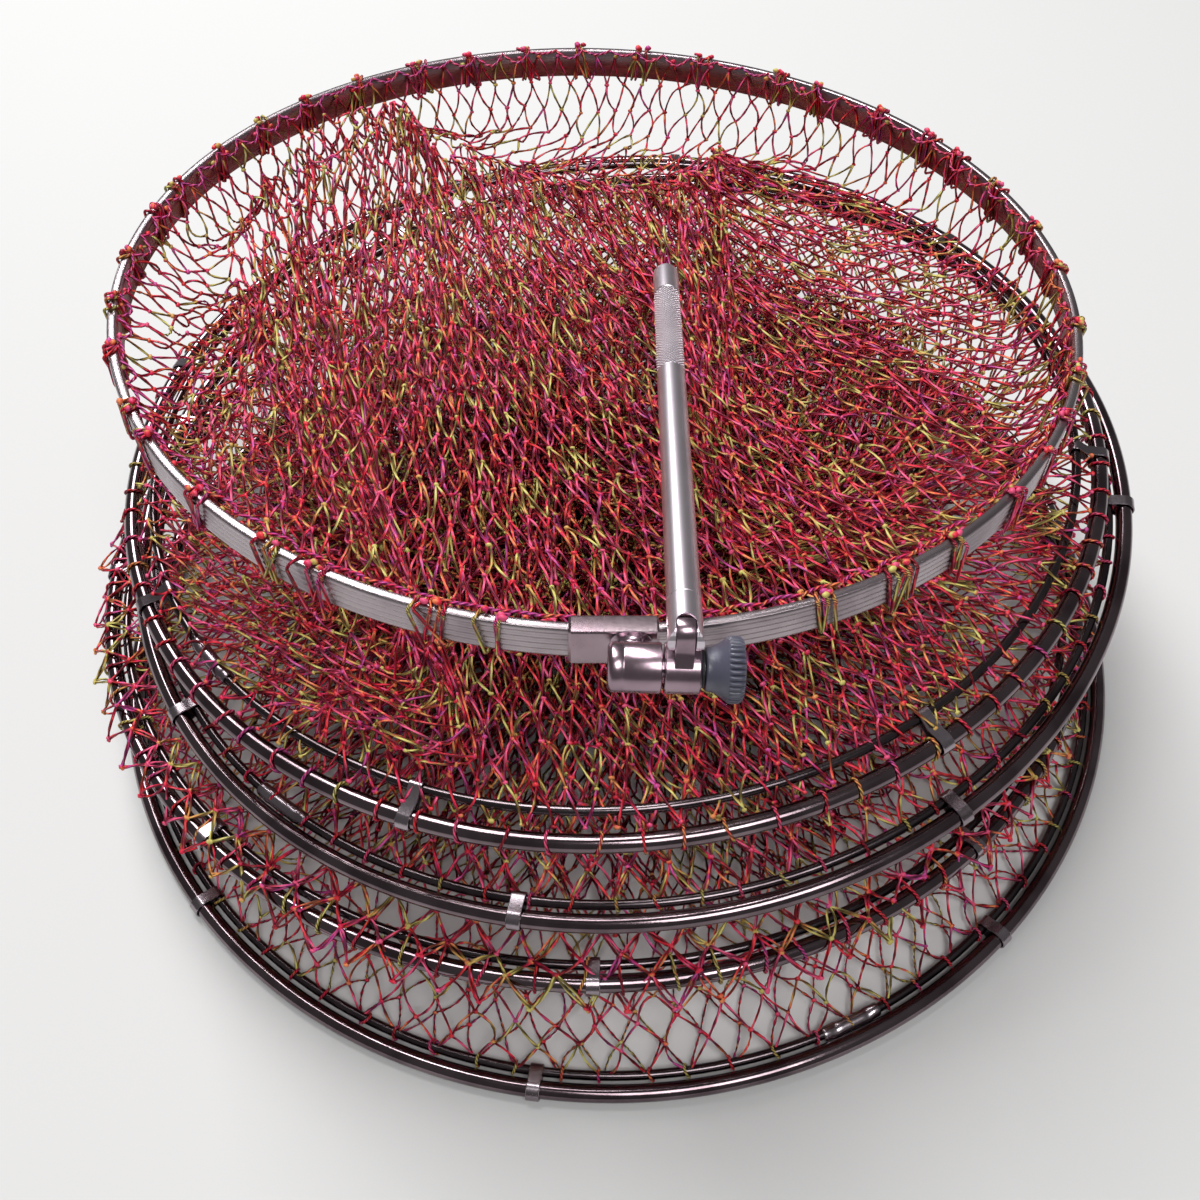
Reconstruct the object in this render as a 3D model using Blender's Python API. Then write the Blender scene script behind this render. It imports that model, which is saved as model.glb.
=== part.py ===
"""Round collapsible keepnet, folded flat on the ground.

A flat mouth ring with a clamp hinge and a folding rod lies above four pairs of rings. Each pair is
an outer tube and a thinner inner wire that carries the netting, held together by sheet-metal clips.
Metres, +Z up, the hinge towards -Y. The origin is on the ground under the middle of the stack.
"""
import math
from collections import namedtuple

import bmesh
import bpy
from mathutils import Matrix, Vector

# Clearances
TOUCH_GAP = 0.0003
RUNNING_GAP = 0.0003
BUTT_GAP = 0.0006

# Mouth strip and its joining sleeve
MOUTH_RADIUS = 0.175
STRIP_HEIGHT = 0.0123
STRIP_THICKNESS = 0.0032
STRIP_RIB_COUNT = 5
STRIP_RIB_DEPTH = 0.0003
STRIP_SEGMENTS = 56
SLEEVE_LENGTH = 0.025
SLEEVE_WALL = 0.0014
SLEEVE_ANGLE = math.radians(-89.5)
SLEEVE_BEVEL = 0.0008

# Outer tubes and inner wires: each pair reaches out past the ring above it
PAIR_1_OVERHANG = 0.028
PAIR_2_OVERHANG = 0.008
PAIR_3_OVERHANG = 0.007
PAIR_4_OVERHANG = 0.007
TUBE_DIAMETER = 0.0065
WIRE_DIAMETER = 0.0036
WIRE_INSET = 0.0063
WIRE_RISE = 0.0008
WIRE_INSET_1 = 0.0098
WIRE_RISE_1 = 0.0040
RING_SEGMENTS = 50
TUBE_SIDES = 8
WIRE_SIDES = 5

# Clips and the crimped splice sleeves
CLIP_THICKNESS = 0.0007
CLIP_WIDTH = 0.005
CLIP_PINCH = 0.0009
SPLICE_LENGTH = 0.024
SPLICE_WALL = 0.0006
SPLICE_CRIMP = 0.93
SPLICE_CRIMP_START = 0.45
SPLICE_CRIMP_END = 0.55
SPLICE_SIDES = 6

# How the rings lie on one another: middle of each ring, rise per metre along X and Y, and slack
MOUTH_MIDDLE = (-0.0020, 0.0122)
RING_1_MIDDLE = (-0.0003, 0.0230)
RING_2_MIDDLE = (0.0045, 0.0156)
RING_3_MIDDLE = (-0.0072, 0.0110)
RING_4_MIDDLE = (0.0, -0.0046)
MOUTH_SLOPE = (-0.0489, -0.0468)
RING_1_SLOPE = (0.0375, -0.0206)
RING_2_SLOPE = (0.0634, 0.0185)
RING_3_SLOPE = (-0.0244, -0.0711)
RING_4_SLOPE = (0.0, 0.0)
MOUTH_SLACK = 0.0547
SLACK_12 = 0.0009
SLACK_23 = 0.0076
SLACK_34 = 0.0066

# Hinge head
BARREL_RADIUS = 0.007
BARREL_STANDOFF = 0.0026
BARREL_RISE = 0.0045
BARREL_CHAMFER = 0.0009
FIXED_BARREL_LENGTH = 0.0145
TURNING_BARREL_LENGTH = 0.0098
BARREL_START = -0.0021
HEAD_YAW = math.radians(-2.1)
RIM_GAP = 0.0008
TOOTH_DEPTH = 0.0006
TOOTH_COUNT = 16
TOOTH_TIP_GAP = 0.0004
TOOTH_INNER_RADIUS = 0.0038
TOOTH_OUTER_RADIUS = 0.0060
BARREL_FLOOR = 0.0030
NECK_PLACE = 0.0065
NECK_DROP = 0.0011
NECK_WIDTH = 0.0090
NECK_HEIGHT = 0.0070
NECK_SINK = 0.0020
BOLT_RADIUS = 0.0025
BOLT_CHAMFER = 0.0005
WASHER_RADIUS = 0.0052
WASHER_THICKNESS = 0.0006
KNOB_LENGTH = 0.0105
KNOB_NECK_RADIUS = 0.0059
KNOB_RIM_RADIUS = 0.0091
KNOB_RIM_LENGTH = 0.0044
KNOB_FLARE_STEPS = 4
KNOB_FLARE_SHARE = 0.92
KNOB_EDGE = 0.0004
KNOB_CROWN_LENGTH = 0.0013
KNOB_CROWN_DEPTH = 0.0009
KNOB_FACE_RADIUS = 0.0064
KNOB_GROOVE_COUNT = 18
KNOB_GROOVE_DEPTH = 0.0006
KNOB_BORE_DEPTH = 0.0070

# Rod, its fork and pin
ROD_RADIUS = 0.0048
ROD_WALL = 0.0010
ROD_SIDES = 20
ROD_LENGTH = 0.196
ROD_PITCH = math.radians(-6.3)
PIN_RISE = 0.0126
PIN_SETBACK = 0.0025
PIN_RADIUS = 0.0015
PIN_LENGTH = 0.0094
LUG_WIDTH = 0.0050
LUG_END_RADIUS = 0.0042
LUG_FOOT_HALF = 0.0056
LUG_SINK = 0.0022
LUG_SHOULDER = 0.0013
FORK_RADIUS = 0.0049
FORK_LENGTH = 0.0110
FORK_SLOT_DEPTH = 0.0078
FORK_ROUNDING_GROWTH = 0.00003
CUTTER_REACH = 0.0150
SPIGOT_LENGTH = 0.0120
TIP_LENGTH = 0.0190
TIP_ROUNDING = 0.0030
TIP_ROUNDING_STEPS = 4

# Netting
NET_WALL = 0.0016
NET_HEM = 0.00072
NET_SEGMENTS = 32
NET_FOLD_DEPTH = 0.020
VEIL_DROP = 0.0180
VEIL_DRAW_IN = 0.0120
VEIL_REACH = 0.250
VEIL_SHARES = (0.75, 0.45, 0.16, 0.06)
VEIL_SAGS = (0.0120, 0.0200, 0.0105, -0.0070)
THROAT_LINE = (
    (0.045, 0.088, 0.158), (0.050, 0.104, 0.150), (0.030, 0.126, 0.146),
    (-0.028, 0.137, 0.144), (-0.075, 0.126, 0.146), (-0.105, 0.099, 0.150),
    (-0.124, 0.070, 0.156), (-0.112, 0.064, 0.160), (-0.078, 0.106, 0.160),
    (-0.025, 0.113, 0.160), (0.014, 0.101, 0.160), (0.035, 0.089, 0.159),
)
FAN_FOLD = 0.0080
FAN_START = 0.03
FAN_MIDDLE = 0.5
FAN_SAG = 0.0020
FLOOR_NET_COUNT = 20
FLOOR_NET_ROWS = 9
FLOOR_NET_CORD = 0.0018
FLOOR_NET_RIM_ROOM = 0.00135
FLOOR_NET_GATHERING = 0.75
FLOOR_NET_EYE_RADIUS = 0.016
FLOOR_NET_HEIGHT = 0.0022

TAU = math.tau
RING_1_RADIUS = MOUTH_RADIUS + PAIR_1_OVERHANG
RING_2_RADIUS = RING_1_RADIUS + PAIR_2_OVERHANG
RING_3_RADIUS = RING_2_RADIUS + PAIR_3_OVERHANG
RING_4_RADIUS = RING_3_RADIUS + PAIR_4_OVERHANG
TUBE_RADIUS = TUBE_DIAMETER / 2
WIRE_RADIUS = WIRE_DIAMETER / 2
CLIP_FLAT_ANGLE = TAU / 8
CLIP_CORNER = 1 / math.cos(CLIP_FLAT_ANGLE / 2)

Ring = namedtuple("Ring", "label radius inset rise clips splice frame")


# Scene and materials

def clear_scene():
    for item in list(bpy.data.objects):
        bpy.data.objects.remove(item, do_unlink=True)


def make_material(name, colour, roughness, metallic):
    """A Principled material of one finish."""
    material = bpy.data.materials.new(name)
    material.use_nodes = True
    shader = material.node_tree.nodes["Principled BSDF"]
    shader.inputs["Base Color"].default_value = (*colour, 1.0)
    shader.inputs["Roughness"].default_value = roughness
    shader.inputs["Metallic"].default_value = metallic
    return material


def add_empty(name, matrix, parent=None):
    """An empty that carries the pieces of one moving part."""
    empty = bpy.data.objects.new(name, None)
    bpy.context.scene.collection.objects.link(empty)
    empty.parent = parent
    empty.matrix_local = matrix
    return empty


def add_object(name, mesh, material, parent=None, matrix=None):
    """Link a mesh as one named sub-part, placed under its parent."""
    item = bpy.data.objects.new(name, mesh)
    bpy.context.scene.collection.objects.link(item)
    item.parent = parent
    if matrix is not None:
        item.matrix_local = matrix
    if not mesh.materials:
        mesh.materials.append(material)
    return item


def finish_mesh(name, shape, smooth_angle=40.0):
    """Turn a bmesh into a mesh with outward faces, smooth but for its sharp edges."""
    bmesh.ops.recalc_face_normals(shape, faces=shape.faces)
    mesh = bpy.data.meshes.new(name)
    shape.to_mesh(mesh)
    shape.free()
    mesh.shade_smooth()
    mesh.set_sharp_from_angle(angle=math.radians(smooth_angle))
    return mesh


def boolean(item, cutter, operation):
    """Cut, join or intersect with a guide object, which is not a part itself."""
    modifier = item.modifiers.new(operation.title(), "BOOLEAN")
    modifier.operation = operation
    modifier.solver = "EXACT"
    modifier.object = cutter
    cutter.hide_render = True
    cutter.display_type = "WIRE"


# Shapes

def sweep(name, sections, closed_path=True, smooth_angle=40.0):
    """Join closed outlines, one for each station of a path, by quads."""
    shape = bmesh.new()
    rows = [[shape.verts.new(point) for point in section] for section in sections]
    pairs = list(zip(rows, rows[1:]))
    if closed_path:
        pairs.append((rows[-1], rows[0]))
    for near, far in pairs:
        for i in range(len(near)):
            j = (i + 1) % len(near)
            shape.faces.new((near[i], near[j], far[j], far[i]))
    if not closed_path:
        shape.faces.new(rows[0])
        shape.faces.new(rows[-1])
    return finish_mesh(name, shape, smooth_angle)


def turned(name, profile, segments, closed_profile=True, ripple=None, smooth_angle=35.0):
    """Turn a profile of (distance along X, radius) about the X axis.

    ripple(index, segment) returns a shift of (along, radius) for teeth and grooves.
    An open profile has a flat cap at each end.
    """
    sections = []
    for i in range(segments):
        angle = TAU * i / segments
        outline = []
        for k, (along, radius) in enumerate(profile):
            shift = ripple(k, i) if ripple else (0.0, 0.0)
            reach = radius + shift[1]
            outline.append(Vector((along + shift[0], reach * math.cos(angle), reach * math.sin(angle))))
        sections.append(outline)
    if closed_profile:
        return sweep(name, sections, True, smooth_angle)
    rings = [[section[k] for section in sections] for k in range(len(profile))]
    return sweep(name, rings, False, smooth_angle)


def extruded(name, outline, depth, holes=(), smooth_angle=35.0):
    """Extrude an outline in the YZ plane along X, centred, with optional hole outlines."""
    shape = bmesh.new()
    edges = []
    for loop in (outline, *holes):
        verts = [shape.verts.new((-depth / 2, y, z)) for y, z in loop]
        edges += [shape.edges.new((verts[i], verts[(i + 1) % len(verts)])) for i in range(len(verts))]
    filled = bmesh.ops.triangle_fill(shape, use_beauty=True, edges=edges)
    faces = [item for item in filled["geom"] if isinstance(item, bmesh.types.BMFace)]
    pushed = bmesh.ops.extrude_face_region(shape, geom=faces, use_keep_orig=True)
    moved = [item for item in pushed["geom"] if isinstance(item, bmesh.types.BMVert)]
    bmesh.ops.translate(shape, verts=moved, vec=(depth, 0, 0))
    return finish_mesh(name, shape, smooth_angle)


def box_mesh(name, size, centre=(0, 0, 0)):
    """A plain block of a size, about a centre."""
    shape = bmesh.new()
    scale = Matrix.Diagonal((*size, 1.0))
    bmesh.ops.create_cube(shape, size=1.0, matrix=Matrix.Translation(centre) @ scale)
    return finish_mesh(name, shape)


def circle_outline(radius, sides, centre=(0.0, 0.0), start=0.0, end=TAU):
    """Points of a circle, or of an arc when its end is given short of a full turn."""
    full = abs(end - start - TAU) < 1e-9
    steps = sides if full else sides - 1
    return [
        (
            centre[0] + radius * math.cos(start + (end - start) * i / steps),
            centre[1] + radius * math.sin(start + (end - start) * i / steps),
        )
        for i in range(sides)
    ]


# Frames of the rings

def ring_frame(name, middle, height, slope):
    """An empty at a ring's middle, its Z axis square to the ring's leaning plane."""
    normal = Vector((-slope[0], -slope[1], 1.0)).normalized()
    turn = Vector((0, 0, 1)).rotation_difference(normal)
    matrix = Matrix.Translation((middle[0], middle[1], height)) @ turn.to_matrix().to_4x4()
    return add_empty(name, matrix)


def band_reach(rod_radius):
    """How far a clip's band reaches from the middle of the rod it wraps, at a flat of the band."""
    return rod_radius + TOUCH_GAP + CLIP_THICKNESS


def lift(lower_slope, upper_slope, radius, slack):
    """Height of one ring above the next, so that they clear each other on the closest side."""
    lean = math.hypot(upper_slope[0] - lower_slope[0], upper_slope[1] - lower_slope[1])
    return lean * radius + 2 * band_reach(TUBE_RADIUS) * CLIP_CORNER + slack


def faceted_point(radius, angle):
    """A point on the straight-sided ring that stands for a circle of this radius."""
    step = TAU / RING_SEGMENTS
    within = (angle % step) - step / 2
    reach = radius * math.cos(step / 2) / math.cos(within)
    return Vector((reach * math.cos(angle), reach * math.sin(angle), 0.0))


def around(angle, point):
    """Matrix at a point of a ring: X outward, Y along the ring, Z up."""
    return Matrix.Translation(point) @ Matrix.Rotation(angle, 4, "Z")


# Mouth ring

def strip_outline():
    """Section of the mouth strip: flat inside, sawtooth ribs outside, as (outward, up)."""
    half = STRIP_HEIGHT / 2
    pitch = STRIP_HEIGHT / STRIP_RIB_COUNT
    outline = [(-STRIP_THICKNESS, half), (-STRIP_THICKNESS, -half)]
    for i in range(STRIP_RIB_COUNT):
        foot = -half + pitch * i
        outline.append((-STRIP_RIB_DEPTH, foot))
        outline.append((0.0, foot + pitch / 2))
    outline.append((-STRIP_RIB_DEPTH, half))
    return outline


def joint_half_angle():
    """Half of the angle over which the strip is straight, inside the sleeve."""
    return math.asin((SLEEVE_LENGTH / 2 + TOUCH_GAP) / MOUTH_RADIUS)


def build_mouth(frame, metal, sleeve_metal):
    half_angle = joint_half_angle()
    chord = MOUTH_RADIUS * math.cos(half_angle)
    start = SLEEVE_ANGLE + half_angle
    sections = []

    def add_section(point, facing):
        outward = Vector((math.cos(facing), math.sin(facing), 0.0))
        sections.append([point + outward * u + Vector((0, 0, v)) for u, v in strip_outline()])

    middle = Vector((math.cos(SLEEVE_ANGLE), math.sin(SLEEVE_ANGLE), 0.0)) * chord
    along = Vector((-math.sin(SLEEVE_ANGLE), math.cos(SLEEVE_ANGLE), 0.0))
    add_section(middle + along * BUTT_GAP / 2, SLEEVE_ANGLE)
    for i in range(STRIP_SEGMENTS + 1):
        angle = start + (TAU - 2 * half_angle) * i / STRIP_SEGMENTS
        point = Vector((math.cos(angle), math.sin(angle), 0.0)) * MOUTH_RADIUS
        at_the_joint = i in (0, STRIP_SEGMENTS)
        add_section(point, SLEEVE_ANGLE if at_the_joint else angle)
    add_section(middle - along * BUTT_GAP / 2, SLEEVE_ANGLE)
    add_object("mouth_strip", sweep("mouth_strip", sections, False), metal, frame)

    depth = STRIP_THICKNESS + 2 * (TOUCH_GAP + SLEEVE_WALL)
    height = STRIP_HEIGHT + 2 * (TOUCH_GAP + SLEEVE_WALL / 2)
    place = around(SLEEVE_ANGLE, middle - middle.normalized() * STRIP_THICKNESS / 2)
    cut = SLEEVE_BEVEL
    outside = [
        (-depth / 2 + cut, -height / 2), (depth / 2 - cut, -height / 2),
        (depth / 2, -height / 2 + cut), (depth / 2, height / 2 - cut),
        (depth / 2 - cut, height / 2), (-depth / 2 + cut, height / 2),
        (-depth / 2, height / 2 - cut), (-depth / 2, -height / 2 + cut),
    ]
    bore_depth = STRIP_THICKNESS / 2 + TOUCH_GAP
    bore_height = STRIP_HEIGHT / 2 + TOUCH_GAP
    inside = [
        (-bore_depth, -bore_height), (bore_depth, -bore_height),
        (bore_depth, bore_height), (-bore_depth, bore_height),
    ]
    mesh = extruded("joining_sleeve", outside, SLEEVE_LENGTH, [inside])
    quarter = Matrix.Rotation(-math.pi / 2, 4, "Z")
    add_object("joining_sleeve", mesh, sleeve_metal, frame, place @ quarter)


# Ring pairs

def ring_tube(name, radius, rod_radius, sides):
    """A rod bent to a ring, its sides turned so that a vertex looks down."""
    sections = []
    for i in range(RING_SEGMENTS):
        angle = TAU * i / RING_SEGMENTS
        outline = []
        for k in range(sides):
            turn = TAU * (k + 0.5) / sides
            reach = radius + rod_radius * math.cos(turn)
            outline.append(Vector((reach * math.cos(angle), reach * math.sin(angle), rod_radius * math.sin(turn))))
        sections.append(outline)
    return sweep(name, sections)


def clip_outline(ring, offset):
    """Outline round tube and wire at a distance from both, as (outward, up) from the tube."""
    span = math.hypot(ring.inset, ring.rise)
    towards = math.atan2(ring.rise, -ring.inset)
    tangent = math.acos((TUBE_RADIUS - WIRE_RADIUS) / span)
    tube_arc = CLIP_FLAT_ANGLE * 2.5
    tube_reach = (TUBE_RADIUS + offset) * CLIP_CORNER
    wire_reach = (WIRE_RADIUS + offset) / math.cos(tangent / 3)
    away = towards + math.pi
    wire = (-ring.inset, ring.rise)
    outline = circle_outline(tube_reach, 6, (0.0, 0.0), away - tube_arc, away + tube_arc)
    pinched = span > TUBE_RADIUS + WIRE_RADIUS + 2 * CLIP_PINCH
    middle = (TUBE_RADIUS + span - WIRE_RADIUS) / 2
    waist = CLIP_PINCH + offset

    def pinch(side):
        square = towards + side * math.pi / 2
        return (
            middle * math.cos(towards) + waist * math.cos(square),
            middle * math.sin(towards) + waist * math.sin(square),
        )

    if pinched:
        outline.append(pinch(-1))
    outline += circle_outline(wire_reach, 4, wire, towards - tangent, towards + tangent)
    if pinched:
        outline.append(pinch(1))
    return outline


def clip_mesh(ring):
    """A sheet-metal band round tube and wire."""
    inner = clip_outline(ring, TOUCH_GAP)
    outer = clip_outline(ring, TOUCH_GAP + CLIP_THICKNESS)
    half = CLIP_WIDTH / 2
    sections = []
    for near, far in zip(inner, outer):
        sections.append([
            Vector((near[0], -half, near[1])), Vector((near[0], half, near[1])),
            Vector((far[0], half, far[1])), Vector((far[0], -half, far[1])),
        ])
    return sweep(ring.label + "_clip", sections)


def splice_mesh(ring):
    """A crimped sleeve that follows two sides of the faceted wire."""
    radius = ring.radius - ring.inset
    reach = SPLICE_LENGTH / 2 / radius
    inner = WIRE_RADIUS + TOUCH_GAP
    outer = inner + SPLICE_WALL
    path = [
        (-reach, 1.0), (-reach * SPLICE_CRIMP_END, 1.0),
        (-reach * SPLICE_CRIMP_START, SPLICE_CRIMP), (0.0, SPLICE_CRIMP),
    ]
    path += [(-angle, size) for angle, size in reversed(path[:3])]
    sections = []
    for level, sign in ((inner, 1), (outer, -1)):
        for angle, size in path[::sign]:
            point = faceted_point(radius, ring.splice + angle)
            outward = Vector((math.cos(ring.splice), math.sin(ring.splice), 0.0))
            outline = []
            for k in range(SPLICE_SIDES):
                turn = TAU * (k + 0.5) / SPLICE_SIDES
                grow = level / math.cos(math.pi / SPLICE_SIDES) * (1.0 if level == inner else size)
                outline.append(point + outward * grow * math.cos(turn) + Vector((0, 0, grow * math.sin(turn))))
            sections.append(outline)
    rise = Vector((0, 0, ring.rise))
    sections = [[point + rise for point in section] for section in sections]
    return sweep(ring.label + "_splice_sleeve", sections)


def build_pair(ring, number, ring_metal, clip_metal):
    """Outer tube, inner wire, splice sleeve and clips of one ring pair."""
    tube = ring_tube("outer_ring", ring.radius, TUBE_RADIUS, TUBE_SIDES)
    add_object(f"outer_ring_{number}", tube, ring_metal, ring.frame)
    wire = ring_tube("inner_wire", ring.radius - ring.inset, WIRE_RADIUS, WIRE_SIDES)
    add_object(f"inner_wire_{number}", wire, ring_metal, ring.frame, Matrix.Translation((0, 0, ring.rise)))
    add_object(f"splice_sleeve_{number}", splice_mesh(ring), clip_metal, ring.frame)
    clip = clip_mesh(ring)
    for i, degrees in enumerate(ring.clips):
        angle = math.radians(degrees)
        place = around(angle, faceted_point(ring.radius, angle))
        add_object(f"ring_clip_{number}_{i + 1}", clip, clip_metal, ring.frame, place)


# Hinge head: X along the barrels, Y inwards over the mouth, Z up, origin on the barrels' axis

def toothed_profile(length, left_teeth, right_teeth):
    """Profile of a barrel about X, from its left face at 0, with recessed face teeth."""
    bore = BOLT_RADIUS + RUNNING_GAP
    recess = RIM_GAP / 2 - TOOTH_TIP_GAP / 2
    low = TOOTH_DEPTH - recess
    outer = BARREL_RADIUS
    cut = BARREL_CHAMFER
    profile = []
    teeth = []
    if left_teeth:
        profile.append((low, bore))
        teeth += [(len(profile), -1), (len(profile) + 1, -1)]
        profile += [(low, TOOTH_INNER_RADIUS), (low, TOOTH_OUTER_RADIUS)]
        profile += [(0.0, TOOTH_OUTER_RADIUS + TOUCH_GAP), (0.0, outer)]
    else:
        profile += [(0.0, outer - cut), (cut, outer)]
    if right_teeth:
        profile += [(length, outer), (length, TOOTH_OUTER_RADIUS + TOUCH_GAP)]
        teeth += [(len(profile), 1), (len(profile) + 1, 1)]
        profile += [(length - low, TOOTH_OUTER_RADIUS), (length - low, TOOTH_INNER_RADIUS)]
        profile += [(length - low, bore)]
    else:
        profile += [(length - cut / 2, outer), (length, outer - cut / 2), (length, bore)]
    return profile, dict(teeth)


def build_head(frame, steel, knob_plastic, dark):
    """Fixed barrel, turning barrel with its lug, bolt, washer, knob, fork, pin, rod and tip."""
    half_angle = joint_half_angle()
    chord = MOUTH_RADIUS * math.cos(half_angle)
    sleeve_face = chord + TOUCH_GAP + SLEEVE_WALL
    centre = sleeve_face + BARREL_STANDOFF + BARREL_RADIUS
    turn = Matrix.Rotation(SLEEVE_ANGLE + math.pi / 2, 4, "Z")
    yaw = Matrix.Rotation(HEAD_YAW, 4, "Z")
    place = turn @ Matrix.Translation((0, -centre, BARREL_RISE)) @ yaw
    head = add_empty("hinge_axis", place, frame)
    segments = TOOTH_COUNT * 2

    def tooth_ripple(teeth):
        def ripple(index, segment):
            if index not in teeth:
                return (0.0, 0.0)
            return (teeth[index] * TOOTH_DEPTH * (segment % 2), 0.0)
        return ripple

    # Fixed barrel: closed at its left end, toothed at its right, with a neck to the sleeve
    profile, teeth = toothed_profile(FIXED_BARREL_LENGTH, False, True)
    bore = BOLT_RADIUS + RUNNING_GAP
    profile += [(BARREL_FLOOR, bore)]
    fixed_mesh = turned("fixed_barrel", profile, segments, False, tooth_ripple(teeth))
    fixed = add_object("fixed_barrel", fixed_mesh, steel, head, Matrix.Translation((BARREL_START, 0, 0)))
    neck_reach = BARREL_STANDOFF + NECK_SINK - TOUCH_GAP - NECK_WIDTH * abs(math.sin(HEAD_YAW))
    neck_middle = (
        BARREL_START + NECK_PLACE,
        BARREL_RADIUS - NECK_SINK + neck_reach / 2,
        -NECK_DROP,
    )
    neck = add_object("neck_guide", box_mesh("neck", (NECK_WIDTH, neck_reach, NECK_HEIGHT), neck_middle), steel, head)
    boolean(fixed, neck, "UNION")

    # Turning barrel with the lug
    turning_start = BARREL_START + FIXED_BARREL_LENGTH + RIM_GAP
    profile, teeth = toothed_profile(TURNING_BARREL_LENGTH, True, False)
    turning_mesh = turned("turning_barrel", profile, segments, True, tooth_ripple(teeth))
    turning = add_object("turning_barrel", turning_mesh, steel, head, Matrix.Translation((turning_start, 0, 0)))
    lug_x = turning_start + TURNING_BARREL_LENGTH / 2
    lean = math.atan2(PIN_SETBACK, PIN_RISE)
    pin_reach = math.hypot(PIN_SETBACK, PIN_RISE)
    foot = BARREL_RADIUS - LUG_SINK
    outline = circle_outline(LUG_END_RADIUS, 9, (0.0, pin_reach), 0.0, math.pi)
    outline += [(-LUG_END_RADIUS, BARREL_RADIUS + LUG_SHOULDER), (-LUG_FOOT_HALF, foot), (LUG_FOOT_HALF, foot)]
    outline += [(LUG_END_RADIUS, BARREL_RADIUS + LUG_SHOULDER)]
    hole = circle_outline(PIN_RADIUS + RUNNING_GAP, 12, (0.0, pin_reach))
    lug_mesh = extruded("lug", outline, LUG_WIDTH, [hole])
    lug_place = Matrix.Translation((lug_x, 0, 0)) @ Matrix.Rotation(-lean, 4, "X")
    lug = add_object("lug_guide", lug_mesh, steel, head, lug_place)
    boolean(turning, lug, "UNION")

    # Bolt, washer and knob
    washer_start = turning_start + TURNING_BARREL_LENGTH + TOUCH_GAP
    knob_start = washer_start + WASHER_THICKNESS + TOUCH_GAP
    bolt_start = BARREL_START + BARREL_FLOOR + TOUCH_GAP
    bolt_end = knob_start + KNOB_BORE_DEPTH - TOUCH_GAP
    profile = [
        (bolt_start, BOLT_RADIUS - BOLT_CHAMFER), (bolt_start + BOLT_CHAMFER, BOLT_RADIUS),
        (bolt_end - BOLT_CHAMFER, BOLT_RADIUS), (bolt_end, BOLT_RADIUS - BOLT_CHAMFER),
    ]
    add_object("hinge_bolt", turned("hinge_bolt", profile, 16, False), steel, head)
    profile = [
        (washer_start, bore), (washer_start, WASHER_RADIUS),
        (washer_start + WASHER_THICKNESS, WASHER_RADIUS), (washer_start + WASHER_THICKNESS, bore),
    ]
    add_object("hinge_washer", turned("hinge_washer", profile, ROD_SIDES), dark, head)
    rim_start = knob_start + KNOB_LENGTH - KNOB_RIM_LENGTH
    knob_end = knob_start + KNOB_LENGTH
    flare = rim_start - knob_start
    profile = [(knob_start + KNOB_BORE_DEPTH, bore), (knob_start, bore), (knob_start, KNOB_NECK_RADIUS)]
    for i in range(1, KNOB_FLARE_STEPS + 1):
        share = i / KNOB_FLARE_STEPS
        widen = (1 - math.cos(share * math.pi / 2)) * (KNOB_RIM_RADIUS - KNOB_NECK_RADIUS)
        profile.append((knob_start + flare * share, KNOB_NECK_RADIUS + widen * KNOB_FLARE_SHARE))
    first_groove = len(profile)
    profile += [(rim_start + KNOB_EDGE, KNOB_RIM_RADIUS), (knob_end - KNOB_CROWN_LENGTH, KNOB_RIM_RADIUS)]
    profile += [(knob_end - KNOB_EDGE, KNOB_RIM_RADIUS - KNOB_CROWN_DEPTH), (knob_end, KNOB_FACE_RADIUS)]

    def groove_ripple(index, segment):
        if index in (first_groove, first_groove + 1):
            return (0.0, -KNOB_GROOVE_DEPTH * (segment % 2))
        return (0.0, 0.0)

    knob_mesh = turned("clamp_knob", profile, KNOB_GROOVE_COUNT * 2, False, groove_ripple)
    add_object("clamp_knob", knob_mesh, knob_plastic, head)

    # Fork, pin, rod tube and tip: X along the pin, Y along the rod
    pin_place = Matrix.Translation((lug_x, PIN_SETBACK, PIN_RISE)) @ Matrix.Rotation(ROD_PITCH, 4, "X")
    rod = add_empty("rod_axis", pin_place, head)
    along_rod = Matrix.Rotation(math.pi / 2, 4, "Z")
    tube_start = FORK_LENGTH + TOUCH_GAP
    spigot_radius = ROD_RADIUS - ROD_WALL - TOUCH_GAP
    profile = [
        (-FORK_RADIUS - TOUCH_GAP, FORK_RADIUS), (FORK_LENGTH, FORK_RADIUS),
        (FORK_LENGTH, spigot_radius), (FORK_LENGTH + SPIGOT_LENGTH, spigot_radius),
    ]
    fork = add_object("rod_fork", turned("rod_fork", profile, ROD_SIDES, False), steel, rod, along_rod)
    slot = FORK_SLOT_DEPTH
    slot_half = LUG_WIDTH / 2 + RUNNING_GAP
    round_end = FORK_RADIUS + FORK_ROUNDING_GROWTH
    rounding = circle_outline(round_end, 13, (0.0, 0.0), math.pi / 2, 3 * math.pi / 2)
    long_end = FORK_LENGTH + SPIGOT_LENGTH + CUTTER_REACH
    rounding += [(long_end, -FORK_RADIUS - TOUCH_GAP), (long_end, FORK_RADIUS + TOUCH_GAP)]
    rounder = add_object("fork_round_guide", extruded("fork_round", rounding, CUTTER_REACH), steel, rod)
    boolean(fork, rounder, "INTERSECT")
    slot_outline = circle_outline(slot_half, 9, (0.0, slot - slot_half), 0.0, math.pi)
    slot_outline += [(-slot_half, -CUTTER_REACH), (slot_half, -CUTTER_REACH)]
    slot_mesh = extruded("fork_slot", slot_outline, CUTTER_REACH)
    upright = Matrix(((0, 1, 0, 0), (0, 0, 1, 0), (1, 0, 0, 0), (0, 0, 0, 1)))
    slotter = add_object("fork_slot_guide", slot_mesh, steel, rod, upright)
    boolean(fork, slotter, "DIFFERENCE")
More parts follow.
